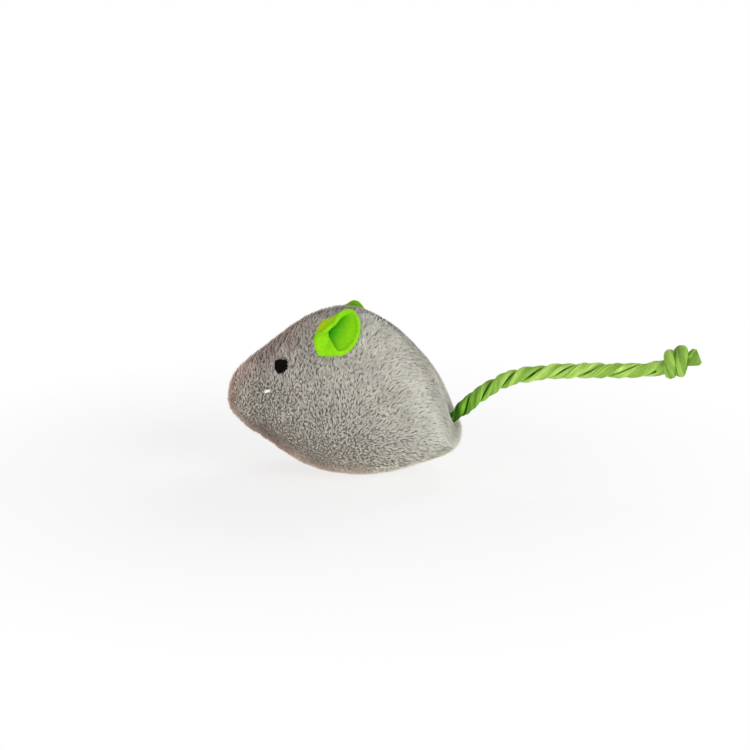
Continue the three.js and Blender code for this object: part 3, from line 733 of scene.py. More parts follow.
fine_shares = np.linspace(0, 1, 2001)
leaf = fine_shares[belly_angle(fine_shares) < math.pi]
across = np.linspace(0, 1, PANEL_COLUMNS)[None, :]
side_s = np.linspace(0.001, 0.999, PANEL_ROWS)[:, None] + 0 * across
side_a = gap_angle(side_s) + across * (belly_angle(side_s) - 2 * gap_angle(side_s))
belly_ease = 0.5 - 0.5 * np.cos(math.pi * np.linspace(0.02, 0.98, PANEL_ROWS))
belly_s = (leaf[0] + (leaf[-1] - leaf[0]) * belly_ease)[:, None] + 0 * across
belly_from = belly_angle(belly_s) + gap_angle(belly_s)
cover_right = panel("cover_side_right", side_s, side_a)
cover_left = panel("cover_side_left", side_s, -side_a[:, ::-1])
cover_belly = panel("cover_belly", belly_s, belly_from + across * (2 * math.pi - 2 * belly_from))
print("belly panel runs over shares", round(leaf[0], 3), "to", round(leaf[-1], 3))

# %% [markdown]
# Short pile is what makes plush look like plush, and it has to be real geometry: painted fur goes flat at
# the outline. Fibres stick together in little locks, so the pile is grown lock by lock. Roots are scattered
# in proportion to the cloth's area, each lock leans the way the nap was brushed, and its few tapered blades
# draw together towards the tip, which leaves the dark gaps between locks.

# %% Pile: how even it is and which way it lies
EYE_PLACE = np.array([-15.75, -12.5, 31.35]) * MM
MUZZLE_PLACE = np.array([-19.3, -13.6, 24.4]) * MM
RUFFLED_X, RUFFLED = [-33, -24, -8, 8, 20, 28], [0.7, 0.95, 0.85, 0.6, 0.34, 0.25]
HEADING_X, HEADING = [-33, -20, -5, 8, 20, 33], np.radians([35, 50, 66, 58, 25, 5])
SLOW_NAP, QUICK_NAP = 5.5 * MM, 1.1 * MM


def fade(value, start, length):
    """0 up to the start and 1 from one length further on, smooth between. A negative length runs down."""
    return smooth((value - start) / length)


def ruffled(points):
    """How uneven the pile is: 1 on the cheeks, a quarter on the smoothly brushed rump, and less again low
    down, where the toy lies on it."""
    height = points[..., 2] / MM
    return np.interp(points[..., 0] / MM, RUFFLED_X, RUFFLED) * (0.4 + 0.6 * fade(height, 1, 15))


def nap_direction(points, normals):
    """Which way the pile lies: rearwards and up on the head, steeper amidships, level on the rump, and down
    at the very back. The heading in side view is a smooth function of x, turned a little by noise, and laid
    on the surface."""
    heading = np.interp(points[..., 0] / MM, HEADING_X, HEADING)
    heading = heading * np.clip(0.55 + points[..., 2] / (40 * MM), 0.4, 1)
    slow = noise(5, *(points[..., k] / SLOW_NAP for k in range(3)))
    quick = noise(6, *(points[..., k] / QUICK_NAP for k in range(3)))
    heading = heading + ruffled(points) * (0.5 * slow + 0.7 * quick)
    fall = 1.5 * fade(normals[..., 0], 0.6, 0.3)
    way = np.stack([np.cos(heading), 0 * heading, np.sin(heading) - fall], -1)
    return unit(way - normals * (way * normals).sum(-1, keepdims=True))


rump_place = np.array([26, -8, 25]) * MM
print("how ruffled, at the eye and on the rump:", ruffled(np.stack([EYE_PLACE, rump_place])).round(2))

# %% [markdown]
# The pile isn't the same all over. A painted sheen tint makes it browner on the nose, the brow and the
# underside where the surface turns away from the sides, and painted light makes the nose and the underside
# paler. Stitches press it down: under the embroidery, where the slit was sewn up, and a little along each
# seam. Both could be painted by hand, but as functions of place they stay right when a number is changed.

# %% Pile: painted sheen and light, and where it is pressed down
SLIT_SHARE, SLIT_REACH = 0.482, 0.055
RUMP_FROM = 23.5 * MM
EYE_KEEPS, MUZZLE_KEEPS = 0.3, 0.35
SEAM_SHOWS, SLIT_SHOWS, RUMP_SHOWS = 0.03, 0.75, 0.3
MOST_PALER = 0.3


def worn(points, normals):
    """How much painted sheen tint and painted light the pile gets. The sheen tint browns the nose, the brow
    and the underside where the surface turns away from the sides, and the painted light makes the nose and
    the underside lighter."""
    x, z = points[..., 0] / MM, points[..., 2] / MM
    low = fade(z, 13, -11)
    # painted sheen tint, strongest where the surface turns away from the sides
    edge = 1 - fade(np.abs(normals[..., 1]), 0.45, 0.5)
    brown = edge * np.maximum(fade(x, -2, -16), 0.8 * low * fade(x, 14, -18))
    # painted light: a lighter nose and underside, which lifts their shade
    return brown, MOST_PALER * np.maximum(fade(x, -20, -9), low)


def pressed_down(foot, s, a):
    """How much of its height the pile keeps: little under the embroidery and where the slit was sewn up,
    less than full where the belly seam ends under the tail, and nearly all along the other seams."""
    mirrored = np.stack([foot[:, 0], -np.abs(foot[:, 1]), foot[:, 2]], -1)
    eye = fade(np.linalg.norm(mirrored - EYE_PLACE, axis=1), 1.7 * MM, 1.6 * MM)
    muzzle = fade(np.linalg.norm(mirrored - MUZZLE_PLACE, axis=1), 0.6 * MM, 1.0 * MM)
    slit = (folded(a) < 1) * fade(np.abs(s - SLIT_SHARE), SLIT_REACH, -0.02)
    rump = (folded(a) > 1) * fade(foot[:, 0], RUMP_FROM, 3 * MM)
    shows = SEAM_SHOWS + np.maximum(SLIT_SHOWS * slit, RUMP_SHOWS * rump)
    seam = 1 - fade(seam_distance(s, a), 0, 0.9 * MM)
    kept = (EYE_KEEPS + (1 - EYE_KEEPS) * eye) * (MUZZLE_KEEPS + (1 - MUZZLE_KEEPS) * muzzle)
    return kept * (1 - shows * seam)


slit_place = np.array([SLIT_SHARE]), np.array([0.0])
print("height kept along the slit:", pressed_down(skin_at(*slit_place), *slit_place).round(2))

# %% [markdown]
# Roots strewn evenly in shares and angles would crowd at the nose and the rump, where the cells are small.
# So each cell of the cover gets roots in proportion to its area.

# %% Pile: scatter the roots


def scatter(keep, spacing, seed):
    """Random (s, a) on the cells of the cover that keep() picks, in proportion to area: evenly spaced
    steps through the summed areas choose the cells, and a jitter places each root within its cell."""
    draw = np.random.default_rng(seed)
    wrapped = np.concatenate([skin, skin[:, :1]], 1)
    down, right = wrapped[1:, :-1] - wrapped[:-1, :-1], wrapped[:-1, 1:] - wrapped[:-1, :-1]
    s = (np.arange(ROWS)[:, None] + 0.5) / ROWS + np.zeros((1, COLUMNS))
    a = 2 * math.pi * (np.arange(COLUMNS)[None, :] + 0.5) / COLUMNS + np.zeros((ROWS, 1))
    area = np.where(keep(s, a, 1 * MM), np.linalg.norm(np.cross(down, right), axis=-1), 0).ravel()
    count = int(area.sum() / spacing ** 2)
    total = np.cumsum(area)
    cell = np.searchsorted(total, (np.arange(count) + draw.random(count)) / count * total[-1])
    cell = np.minimum(cell, len(total) - 1)
    s = (cell // COLUMNS + draw.random(count)) / ROWS
    a = 2 * math.pi * (cell % COLUMNS + draw.random(count)) / COLUMNS
    inside = keep(s, a, 0)
    return s[inside], a[inside]


def on_left(s, a, margin):
    """The left panel: angles past pi, above the belly seam."""
    return (a > math.pi) & (folded(a) < belly_angle(s) + margin / np.maximum(chord(s)[2], 2 * MM))


def on_right(s, a, margin):
    """The right panel: angles up to pi, above the belly seam."""
    return (a <= math.pi) & (folded(a) < belly_angle(s) + margin / np.maximum(chord(s)[2], 2 * MM))


def on_belly(s, a, margin):
    """The belly panel: below its seam."""
    return folded(a) > belly_angle(s) - margin / np.maximum(chord(s)[2], 2 * MM)


print("roots on the left panel, one to a square millimetre:", len(scatter(on_left, 1 * MM, 0)[0]))

# %% [markdown]
# A lock is four flat blades, each with two corners at its root, two at its knee and one at its tip. Blender's
# own hair could grow it too, but isn't a mesh that a part can carry. The blades of a lock stand apart at the
# foot and lean together at the tip, and each bends over the way the nap lies.

# %% Pile: the blades of the locks
LOCK_BLADES, BLADE_CORNERS = 4, 5
LOCK_RADIUS = 0.29 * MM
NAP_LENGTH = 0.95 * MM
BLADE_WIDTH = 0.16 * MM
HEIGHT_VARIES, LENGTH_VARIES = 0.24, 0.3
KNEE_DRAWN, KNEE_HEIGHT, KNEE_ALONG, KNEE_WIDTH = 0.25, 0.62, 0.34, 0.8
TIP_DRAWN = 0.6
LEAST_CLEARANCE = 0.05 * MM
BLADE_CHART = np.array([[0.2, 0.15], [0.8, 0.15], [0.3, 0.55], [0.7, 0.55], [0.5, 0.88]])


def lock_blades(foot, normal, nap, kept, uneven, draw):
    """The five corners of each blade. A blade runs root, knee, tip: root = the lock's foot + an offset,
    knee = a little way along the nap and most of the way up, tip = the lock's tip + a part of the offset."""
    locks, shape = len(foot), (len(foot), LOCK_BLADES, 1)
    height = PILE_DEPTH * kept * (1 + HEIGHT_VARIES * uneven * draw.uniform(-1, 0.7, (locks, 1, 1)))
    length = NAP_LENGTH * np.sqrt(kept) * (1 + LENGTH_VARIES * draw.uniform(-1, 1, (locks, 1, 1)))
    spin = draw.uniform(0, 2 * math.pi, shape)
    reach = LOCK_RADIUS * np.sqrt(draw.random(shape))
    n, f, b = (v[:, None, :] for v in (normal, nap, np.cross(normal, nap)))
    offset = reach * (np.cos(spin) * f + np.sin(spin) * b)
    root = foot[:, None, :] + offset
    own = draw.uniform(0.85, 1.15, shape)
    knee = root - KNEE_DRAWN * offset + n * height * KNEE_HEIGHT * own + f * length * KNEE_ALONG
    tip = root - TIP_DRAWN * offset + n * height * own + f * length * own
    wide = BLADE_WIDTH / 2 * unit(b + n * draw.uniform(-0.5, 0.5, shape))
    blades = np.stack([root - wide, root + wide, knee - KNEE_WIDTH * wide, knee + KNEE_WIDTH * wide, tip], 2)
    blades[..., 2] = np.maximum(blades[..., 2], LEAST_CLEARANCE)
    return blades


def chart_of_blades(piece, count, corners):
    """A UV map that gives each blade its own spot: blade k sits in cell k of a square array of cells."""
    side = int(math.ceil(math.sqrt(count)))
    cell = np.stack([np.arange(count) % side, np.arange(count) // side], -1)
    places = ((cell[:, None, :] + BLADE_CHART) / side).reshape(-1, 2)
    chart = piece.data.uv_layers.new(name="OFBake")
    chart.data.foreach_set("uv", np.ascontiguousarray(places[corners], np.float32).ravel())


print("blades to a lock:", LOCK_BLADES, "each up to", round(BLADE_WIDTH / MM, 2), "mm wide")

# %% [markdown]
# Every blade also carries three numbers for its material: how far along it a point is, its lock's random tone
# plus painted light, and how much painted sheen tint it gets. Roots are painted darker as painted shade
# between the locks, except where the pile is smooth: there roots count as tips, since no gaps show between.

# %% Pile: grow it on each panel
LOCK_SPACING = 0.41 * MM
LOCK_CONTRAST = 0.1
LOCK_SHADE, BLADE_SHADE = 0.7, 0.3
CORNER_SHARES = np.array([0, 0, 0.6, 0.6, 1])


def grow_pile(name, keep, seed):
    """Locks of tapered blades over the part of the cover that keep() picks."""
    s, a = scatter(keep, LOCK_SPACING, seed)
    draw = np.random.default_rng(seed + 100)
    foot = skin_at(s, a)
    normal, _, _ = body_frame(s, a)
    nap, uneven = nap_direction(foot, normal), ruffled(foot)
    kept = pressed_down(foot, s, a)[:, None, None]
    blades = lock_blades(foot, normal, nap, kept, uneven[:, None, None], draw)
    locks, count = len(s), len(s) * LOCK_BLADES
    first = BLADE_CORNERS * np.arange(count)[:, None]
    quads, triangles = first + [0, 1, 3, 2], first + [2, 3, 4]
    piece = new_piece(name, blades.reshape(-1, 3), quads, triangles)
    shade = LOCK_SHADE * draw.uniform(-1, 1, (locks, 1))
    shade = shade + BLADE_SHADE * draw.uniform(-1, 1, (locks, LOCK_BLADES))
    # painted sheen tint and painted light; the painted light is added to each lock's random tone
    brown, paler = worn(foot, normal)
    lock_shade = LOCK_CONTRAST * shade * uneven[:, None] + paler[:, None]
    # tip_share darkens the roots as painted shade between the locks, where the pile is ruffled
    give_values(
        piece,
        tip_share=1 - np.repeat(uneven, LOCK_BLADES)[:, None] * (1 - CORNER_SHARES),
        lock_shade=np.repeat(lock_shade.ravel(), BLADE_CORNERS),
        brown=np.repeat(brown, BLADE_CORNERS * LOCK_BLADES),
    )
    chart_of_blades(piece, count, np.concatenate([quads.ravel(), triangles.ravel()]))
    print(name, "has", locks, "locks and", 3 * count, "triangles")
    return piece


pile_left = grow_pile("pile_left", on_left, 1)
pile_right = grow_pile("pile_right", on_right, 2)
pile_belly = grow_pile("pile_belly", on_belly, 3)

# %% [markdown]
# An ear is a round of thick felt whose sewn edge is pinched, so the two sides roll in over the middle and
# leave a cup. It is worked out in its own plane, in polar terms round the middle: at each angle a profile
# runs out along the floor, round a fold, and back inwards for as long as that side is rolled. Solidify then
# gives the felt its thickness, and Subdivision its soft edges. The numbers of the profile are degrees and
# millimetres. The far ear is the near one mirrored and pressed a little flatter, since the photograph shows
# no more of it than its tip.

# %% Ears: sizes and profile
FELT_THICKNESS = 1.25 * MM
EAR_ROOT = np.array([-5.7, -12.6, 36.8])
EAR_OUT, EAR_ACROSS = np.array([0.7048, 0.3374, 0.6240]), np.array([0.6884, -0.5377, -0.4868])
EAR_FACE = np.array([-0.1712, -0.7727, 0.6113])
EAR_MIDDLE = np.array([7.0, 1.2])
EAR_FROM, EAR_TO = 196, 562
EAR_PROFILE = np.array([
    # angle, floor, fold radius, fold angle, roll
    (196, 5.3, 1.0, 160, 3.3),
    (212, 4.5, 1.0, 160, 3.6),
    (230, 3.95, 1.05, 160, 3.85),
    (243, 3.65, 1.1, 160, 3.75),
    (257, 3.25, 1.1, 160, 3.25),
    (268, 2.8, 1.1, 158, 2.75),
    (280, 2.55, 1.1, 157, 2.4),
    (292, 2.5, 1.1, 156, 2.3),
    (302, 2.75, 1.05, 155, 2.3),
    (312, 3.15, 1.0, 154, 2.1),
    (320, 3.6, 1.0, 150, 1.4),
    (327, 4.1, 1.0, 144, 0.6),
    (333, 4.5, 1.1, 125, 0.3),
    (341, 4.85, 1.4, 85, 0.1),
    (355, 4.9, 2.3, 40, 0.1),
    (370, 4.55, 2.8, 30, 0.1),
    (400, 3.95, 3.0, 28, 0.1),
    (430, 3.9, 3.0, 28, 0.1),
    (460, 4.6, 2.8, 31, 0.1),
    (480, 5.25, 2.0, 45, 0.1),
    (490, 5.65, 1.2, 85, 0.1),
    (499, 5.95, 0.9, 140, 1.0),
    (510, 6.4, 0.8, 172, 2.3),
    (520, 6.85, 0.8, 180, 3.3),
    (527, 7.4, 0.8, 180, 3.9),
    (533, 7.0, 0.8, 180, 3.6),
    (540, 6.3, 0.8, 180, 3.2),
    (552, 5.45, 0.8, 180, 2.7),
    (562, 4.8, 0.8, 180, 2.2),
])


def ear_floor(p, q):
    """Height of the cup's floor over the ear's plane: highest near the root, falling outwards as the body
    does below it."""
    return 0.75 - 0.8 * (p / 14) ** 2 - 0.5 * (q / 6) ** 2


print("the ear rolls in most, mm:", EAR_PROFILE[:, 4].max(), "at", EAR_PROFILE[EAR_PROFILE[:, 4].argmax(), 0])

# %% [markdown]
# One profile is a length of floor, an arc of the fold and a straight roll. The end of the felt lies over its
# start, where it was pinched and sewn, so it is lifted there by the thickness of what lies below.

# %% Ears: places on the felt
EAR_ANGLES, FLOOR_STEPS, FOLD_STEPS, ROLL_STEPS = 120, 9, 10, 8
OVERLAP_LIFT, OVERLAP_FROM = 1.7, 520
FELT_UNEVEN, FELT_RUN = 0.12, 2.5


def ear_profiles(angle, spread, rise):
    """How far out and how high each profile goes. Along the arc, out grows by radius x sin and height by
    radius x (1 - cos). The roll goes on the way the arc ended."""
    flat, radius, bend, roll = (np.interp(angle, EAR_PROFILE[:, 0], EAR_PROFILE[:, k]) for k in range(1, 5))
    flat, radius, bend = flat * spread, radius * rise, np.radians(bend)
    floor = np.linspace(0, 1, FLOOR_STEPS)[None, :] * flat
    arc = np.linspace(0, 1, FOLD_STEPS + 1)[None, 1:] * bend
    back_step = np.linspace(0, 1, ROLL_STEPS + 1)[None, 1:] * roll
    away = np.concatenate([
        floor,
        flat + radius * np.sin(arc),
        flat + radius * np.sin(bend) + back_step * np.cos(bend),
    ], 1)
    high = np.concatenate([
        0 * floor,
        radius * (1 - np.cos(arc)),
        radius * (1 - np.cos(bend)) + back_step * np.sin(bend),
    ], 1)
    return away, high


def ear_places(side, spread, narrow, rise):
    """The felt's points as a grid of angle by step, with each point's angle, its place (p, q) in the ear's
    plane, how far out it is and how high over the floor."""
    angle = np.linspace(EAR_FROM, EAR_TO, EAR_ANGLES)[:, None]
    away, high = ear_profiles(angle, spread, rise)
    turn = np.radians(angle)
    p, q = EAR_MIDDLE[0] + away * np.cos(turn), EAR_MIDDLE[1] + narrow * away * np.sin(turn)
    lift = rise * OVERLAP_LIFT * fade(angle, OVERLAP_FROM, 30) * fade(away, 2.4, 2.6)
    uneven = FELT_UNEVEN * noise(71, p / FELT_RUN + 20, q / FELT_RUN + 20, high)
    height = ear_floor(p, q) + high + lift + uneven
    points = EAR_ROOT + p[..., None] * EAR_OUT + q[..., None] * EAR_ACROSS + height[..., None] * EAR_FACE
    return points * (1, -side, 1) * MM, angle, p, q, away, high


near_ear = ear_places(-1, 1, 1, 1)[0].reshape(-1, 3)
print("near ear, mm:", (near_ear.min(0) / MM).round(1), "to", (near_ear.max(0) / MM).round(1))

# %% [markdown]
# Painted shade makes the felt deepest green in the hollow of the cup, along a crease that runs out from the
# root, and the colour turns olive on the outside of the roll. Both are shares that the felt carries for its
# material. The grid closes into one sheet with a fan of triangles round its middle.

# %% Ears: two cups of felt
EAR_APEX, EAR_HOLLOW_END = np.array([3.6, 0.2]), np.array([10.4, -2.0])
HOLLOW_RADIUS, HOLLOW_DEPTH, HOLLOW_FADES = 3.3, 1.2, 0.35
OLIVE_UP_TO, OLIVE_EDGE_STEPS = 330, 5


def ear_shades(angle, p, q, away, high):
    """How much painted shade each point gets inside the cup, and how olive it is. The painted shade falls off
    as a bell with the distance from the crease line. Olive is the band of low angles, up to the last few
    steps of the roll."""
    crease_line = EAR_HOLLOW_END - EAR_APEX
    along = (p - EAR_APEX[0]) * crease_line[0] + (q - EAR_APEX[1]) * crease_line[1]
    share = np.clip(along / (crease_line @ crease_line), 0, 1)
    from_p = p - EAR_APEX[0] - share * crease_line[0]
    from_q = q - EAR_APEX[1] - share * crease_line[1]
    inside = smooth(1 - high / HOLLOW_DEPTH) * (1 - HOLLOW_FADES * share)
    # painted shade, deepest along the crease line inside the cup
    hollow = inside * np.exp(-((np.hypot(from_p, from_q) / HOLLOW_RADIUS) ** 2))
    band = fade(angle, OLIVE_UP_TO, -20) * smooth(high)
    band_edge = fade(np.arange(away.shape[1]), away.shape[1] - OLIVE_EDGE_STEPS, 2.5)[None, :]
    return hollow, band * (1 - band_edge)


def ear_cup(name, side, spread, narrow, rise):
    """The felt as a mesh, with its middle as one point. Spread, narrow and rise are how long, how broad and
    how high this ear is, with 1 for the ear in the photograph."""
    points, *places = ear_places(side, spread, narrow, rise)
    hollow, olive = ear_shades(*places)
    steps = points.shape[1] - 1
    walls = grid_faces(EAR_ANGLES, steps, flip=side < 0)
    spoke = steps * np.arange(EAR_ANGLES - 1)
    fan = np.stack([EAR_ANGLES * steps + 0 * spoke, spoke, spoke + steps], -1)
    outer = points[:, 1:].reshape(-1, 3)
    piece = new_piece(name, np.concatenate([outer, points[:1, 0]]), walls, fan[:, ::-1] if side < 0 else fan)
    give_values(
        piece,
        hollow=np.append(hollow[:, 1:].ravel(), hollow[0, 0]),
        olive=np.append(olive[:, 1:].ravel(), olive[0, 0]),
    )
    wall = piece.modifiers.new("felt", "SOLIDIFY")
    wall.thickness, wall.offset = FELT_THICKNESS, 0
    soft = piece.modifiers.new("soft edges", "SUBSURF")
    soft.levels = soft.render_levels = 1
    print(name, "is a sheet of", len(outer) + 1, "points")
    return piece


ear_left = ear_cup("ear_cup_left", -1, spread=1, narrow=1, rise=1)
ear_right = ear_cup("ear_cup_right", 1, spread=0.88, narrow=0.76, rise=0.7)

# %% [markdown]
# Each eye is a little patch of satin stitch: thick black thread laid side by side, uneven at its ends. Each
# stitch is a closed round tube along a short arch that rises out of the pile and dives back in. The same
# helper makes the white stitch on the muzzle and the stitches that close the stuffing slit.

# %% Thread
TUBE_SIDES = 8


def round_tubes(name, lines, radii, up):
    """Closed round tubes, one for each line: wall = line + radius (cos t side + sin t over), with side
    across both the line and the hint of up, and radii one number for each step of each line."""
    count, steps = lines.shape[:2]
    along = unit(np.gradient(lines, axis=1))
    side = unit(np.cross(up, along))
    turn = 2 * math.pi * np.arange(TUBE_SIDES)[:, None] / TUBE_SIDES
    ring = np.cos(turn) * side[:, :, None, :] + np.sin(turn) * np.cross(along, side)[:, :, None, :]
    wall = lines[:, :, None, :] + radii[..., None, None] * ring
    points = np.concatenate([wall.reshape(count, -1, 3), lines[:, [0, -1]]], 1)
    first = points.shape[1] * np.arange(count)[:, None, None]
    walls, fans = tube_faces(steps, TUBE_SIDES)
    walls, fans = (first + walls).reshape(-1, 4), (first + fans).reshape(-1, 3)
    piece = new_piece(name, points.reshape(-1, 3), walls, fans)
    length = np.cumsum(np.linalg.norm(np.diff(lines, axis=1, prepend=lines[:, :1]), axis=2), 1) / MM
    run = np.concatenate([np.repeat(length, TUBE_SIDES, 1), length[:, [0, -1]]], 1)
    share = np.concatenate([np.tile(np.arange(TUBE_SIDES) / TUBE_SIDES, steps), [0.5, 0.5]])
    give_values(piece, ply_run=run, ply_share=np.tile(share, count))
    print(name, "thread lengths, mm:", length[:, -1].round(1).tolist()[:4])
    return piece


print("sides of a thread:", TUBE_SIDES)

# %% [markdown]
# An embroidered stitch comes up through the cloth, lies over it and goes back down. Its arch is a sine made
# blunter by a power under one, so it is steep at both ends and nearly flat between.

# %% Arched stitches
STITCH_STEPS = 13
BLUNT_ARCH, BLUNT_THREAD, THINNED = 0.6, 0.5, 0.75


def arched_stitches(name, starts, ends, rise, sink, radius, side):
    """Stitches laid on the body. Starts and ends are side-view places. Height over the surface goes as a
    sine arch from -sink at both ends to the rise, and the thread thins where it dives in."""
    t = np.linspace(0, 1, STITCH_STEPS)[None, :]
    x, z = (starts[:, k, None] * (1 - t) + ends[:, k, None] * t for k in (0, 1))
    s, a = on_side(x, z, side)
    normal, _, _ = body_frame(s, a)
    arch = np.abs(np.sin(math.pi * t))
    height = (rise[:, None] + sink) * arch ** BLUNT_ARCH - sink
    lines = body_point(s, a) + normal * height[..., None]
    radii = radius[:, None] * (THINNED + (1 - THINNED) * arch ** BLUNT_THREAD)
    return round_tubes(name, lines, radii, normal)


print("arch at a quarter of a stitch:", round(math.sin(math.pi / 4) ** BLUNT_ARCH, 2))

# %% [markdown]
# The eye is an upright oval of fifteen leaning stitches. Sewn by hand, they end unevenly, and one bunch above
# and another below stand out from the oval. The muzzle has a short white stitch of two strands.

# %% Eyes and muzzle stitches
EYE_THREADS, EYE_SPAN = 15, 0.96
EYE_HALF_WIDTH, EYE_HALF_HEIGHT = 1.6 * MM, 1.95 * MM
EYE_THREAD_RADIUS, EYE_SINK = 0.23 * MM, 0.75 * MM
EYE_LEAN = math.radians(58)
UPPER_BUNCH, LOWER_BUNCH = (0.9 * MM, 0.12, 0.26), (0.5 * MM, -0.45, 0.25)
MUZZLE_RADIUS, MUZZLE_SINK = 0.24 * MM, 0.6 * MM


def bunch(k, height, middle, spread):
    """A bell of overshoot over the stitches round the middle one."""
    return height * np.exp(-((k - middle) / spread) ** 2)


def embroidered_eye(name, side, seed):
    """Satin stitches across an upright oval. Stitch k lies at step k across the oval, runs along the lean,
    and ends where the oval does, with uneven overshoot."""
    draw = np.random.default_rng(seed)
    k = np.linspace(-EYE_SPAN, EYE_SPAN, EYE_THREADS)
    half = np.sqrt(1 - k * k) * EYE_HALF_HEIGHT
    upper = half * draw.uniform(0.6, 0.84, EYE_THREADS) + bunch(k, *UPPER_BUNCH)
    lower = half * draw.uniform(0.8, 1.05, EYE_THREADS) + bunch(k, *LOWER_BUNCH)
    way = np.array([math.cos(EYE_LEAN), math.sin(EYE_LEAN)])
    across = np.array([way[1], -way[0]])
    middle = EYE_PLACE[[0, 2]] + k[:, None] * EYE_HALF_WIDTH * across
    rise = (0.15 + 0.5 * np.sqrt(1 - k * k) + draw.uniform(-0.06, 0.06, EYE_THREADS)) * MM
    radius = EYE_THREAD_RADIUS * draw.uniform(0.85, 1.12, EYE_THREADS)
    starts, ends = middle - lower[:, None] * way, middle + upper[:, None] * way
    return arched_stitches(name, starts, ends, rise, EYE_SINK, radius, side)


def muzzle_stitch(name, side):
    """Two strands of white thread side by side, tilted up towards the eye."""
    middle = MUZZLE_PLACE[[0, 2]] + np.array([[-0.08, 0.14], [0.1, -0.12]]) * MM
    reach = np.array([0.74, 0.36]) * MM
    rise = np.array([0.42, 0.36]) * MM
    radius = np.full(2, MUZZLE_RADIUS)
    return arched_stitches(name, middle - reach, middle + reach, rise, MUZZLE_SINK, radius, side)


eye_left = embroidered_eye("eye_embroidery_left", -1, 81)
eye_right = embroidered_eye("eye_embroidery_right", 1, 82)
muzzle_left = muzzle_stitch("muzzle_white_stitch_left", -1)
muzzle_right = muzzle_stitch("muzzle_white_stitch_right", 1)

# %% [markdown]
# The panels are sewn with a running thread just under the pile. Seam threads follow curves of (s, a) on the
# body at their depth, which keeps them in the seam wherever the body's form is changed.

# %% Seam threads
SEAM_THREAD_RADIUS = 0.28 * MM
BELLY_THREAD_DEPTH, SPINE_THREAD_DEPTH = 1.5 * MM, 1.8 * MM
BELLY_THREAD_STEPS, SPINE_THREAD_STEPS = 220, 240
STITCH_PITCH, STITCH_WAVE = 2.4 * MM, 0.12 * MM


def thread_on_body(name, s, a, depth, radius):
    """A thread at a depth under the surface along (s, a), waving in and out once for each stitch."""
    normal, _, _ = body_frame(s, a)
    base = body_point(s, a)
    run = np.concatenate([[0], np.cumsum(np.linalg.norm(np.diff(base, axis=0), axis=1))])
    wave = STITCH_WAVE * np.cos(2 * math.pi * run / STITCH_PITCH)
    line = base - normal * (depth - wave)[:, None]
    return round_tubes(name, line[None], np.full((1, len(s)), radius), normal[None])


def belly_thread(name, side):
    """The running thread of one belly seam, over the seam's side-view curve."""
    places = np.linspace(1.7, 7.7, BELLY_THREAD_STEPS)
    place = through(BELLY_SEAM_SHARES, places) * SIDE_VIEW - (0, FLAT_DEPTH)
    s, a = on_side(place[:, 0], place[:, 1], side)
    return thread_on_body(name, s, a, BELLY_THREAD_DEPTH + 0 * s, SEAM_THREAD_RADIUS)


spine_s = np.linspace(0.09, 0.85, SPINE_THREAD_STEPS)
spine_depth = SPINE_THREAD_DEPTH + 0 * spine_s
spine_thread = thread_on_body("spine_seam_stitching", spine_s, 0 * spine_s, spine_depth, SEAM_THREAD_RADIUS)
belly_thread_left = belly_thread("belly_seam_stitching_left", -1)
belly_thread_right = belly_thread("belly_seam_stitching_right", 1)

# %% [markdown]
# The slit through which the toy was stuffed is closed by hand with bigger stitches on the ridge behind the
# ears. One thread zigzags over the spine and dives in at each side. Noise keeps the stitches uneven.

# %% Closing stitches
CLOSING_STITCHES, STEPS_PER_STITCH = 4, 36
CLOSING_FROM, CLOSING_TO = 0.446, 0.518
CLOSING_HALF_WIDTH, CLOSING_RADIUS = 1.0 * MM, 0.27 * MM
closing_last = 2 * CLOSING_STITCHES - 1
closing_t = np.linspace(0, closing_last, STEPS_PER_STITCH * CLOSING_STITCHES)
closing_s = np.interp(closing_t, [0, closing_last], [CLOSING_FROM, CLOSING_TO])
closing_s = closing_s + 0.0035 * noise(78, closing_t / 1.3)
closing_side = np.cos(math.pi * closing_t)
closing_a = closing_side * CLOSING_HALF_WIDTH / chord(closing_s)[2]
closing_depth = (0.15 + 0.6 * np.abs(closing_side) ** 3 + 0.3 * noise(77, closing_t / 1.7)) * MM
closing_stitch = thread_on_body("closing_stitches", closing_s, closing_a, closing_depth, CLOSING_RADIUS)

# %% [markdown]
# Each ear is held by a few tight stitches at its pinched root, which nobody sees. Three strands through the
# middle of the tack's own solid, spread a little at mid length, stand for them.

# %% Ear tacks
TACK_STEPS, TACK_RADIUS = 9, 0.22 * MM
TACK_REACH, TACK_SPREAD = 0.42, 0.3 * MM


def ear_tack(name, node):
    """Three strands of thread that run through the middle of the node's box, from cover to felt."""
    low, high = (np.array(corner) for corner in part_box(node))
    t = np.linspace(-1, 1, TACK_STEPS)[None, :, None]
    outwards = TACK_REACH * np.array([0, 1 if low[1] > 0 else -1, 1]) * (high - low)
    aside = TACK_SPREAD * np.array([-1, 0, 1])[:, None, None] * np.array([1.0, 0, 0.4])
    lines = (low + high) / 2 + t * outwards + aside * (1 - t * t)
    return round_tubes(name, lines, np.full(lines.shape[:2], TACK_RADIUS), np.array([1.0, 0, 0]))


ear_tack_left = ear_tack("ear_tack_stitches_left", "ear_tack_left")
ear_tack_right = ear_tack("ear_tack_stitches_right", "ear_tack_right")

# %% [markdown]
# Inside are two wads of fibre and a sachet of dried herb. Nobody sees them in the closed toy, yet they are
# what a cat's owner finds when it bursts. Each is its own solid's mesh, remeshed finely and roughened along
# its normals: deep soft lumps for the fibre, creases for the sachet, crumbs for the herb.

# %% Filling, sachet and herb
WAD_GRAIN = dict(voxel=0.7 * MM, depth=0.8 * MM, grain=3 * MM)
HERB_GRAIN = dict(voxel=0.5 * MM, depth=0.9 * MM, grain=0.9 * MM)
SHEET_GRAIN = dict(voxel=0.24 * MM, depth=0.1 * MM, grain=1.6 * MM)
COARSE_SHARE, FINE_SHARE, FINE_GRAIN = 0.6, 0.4, 0.4


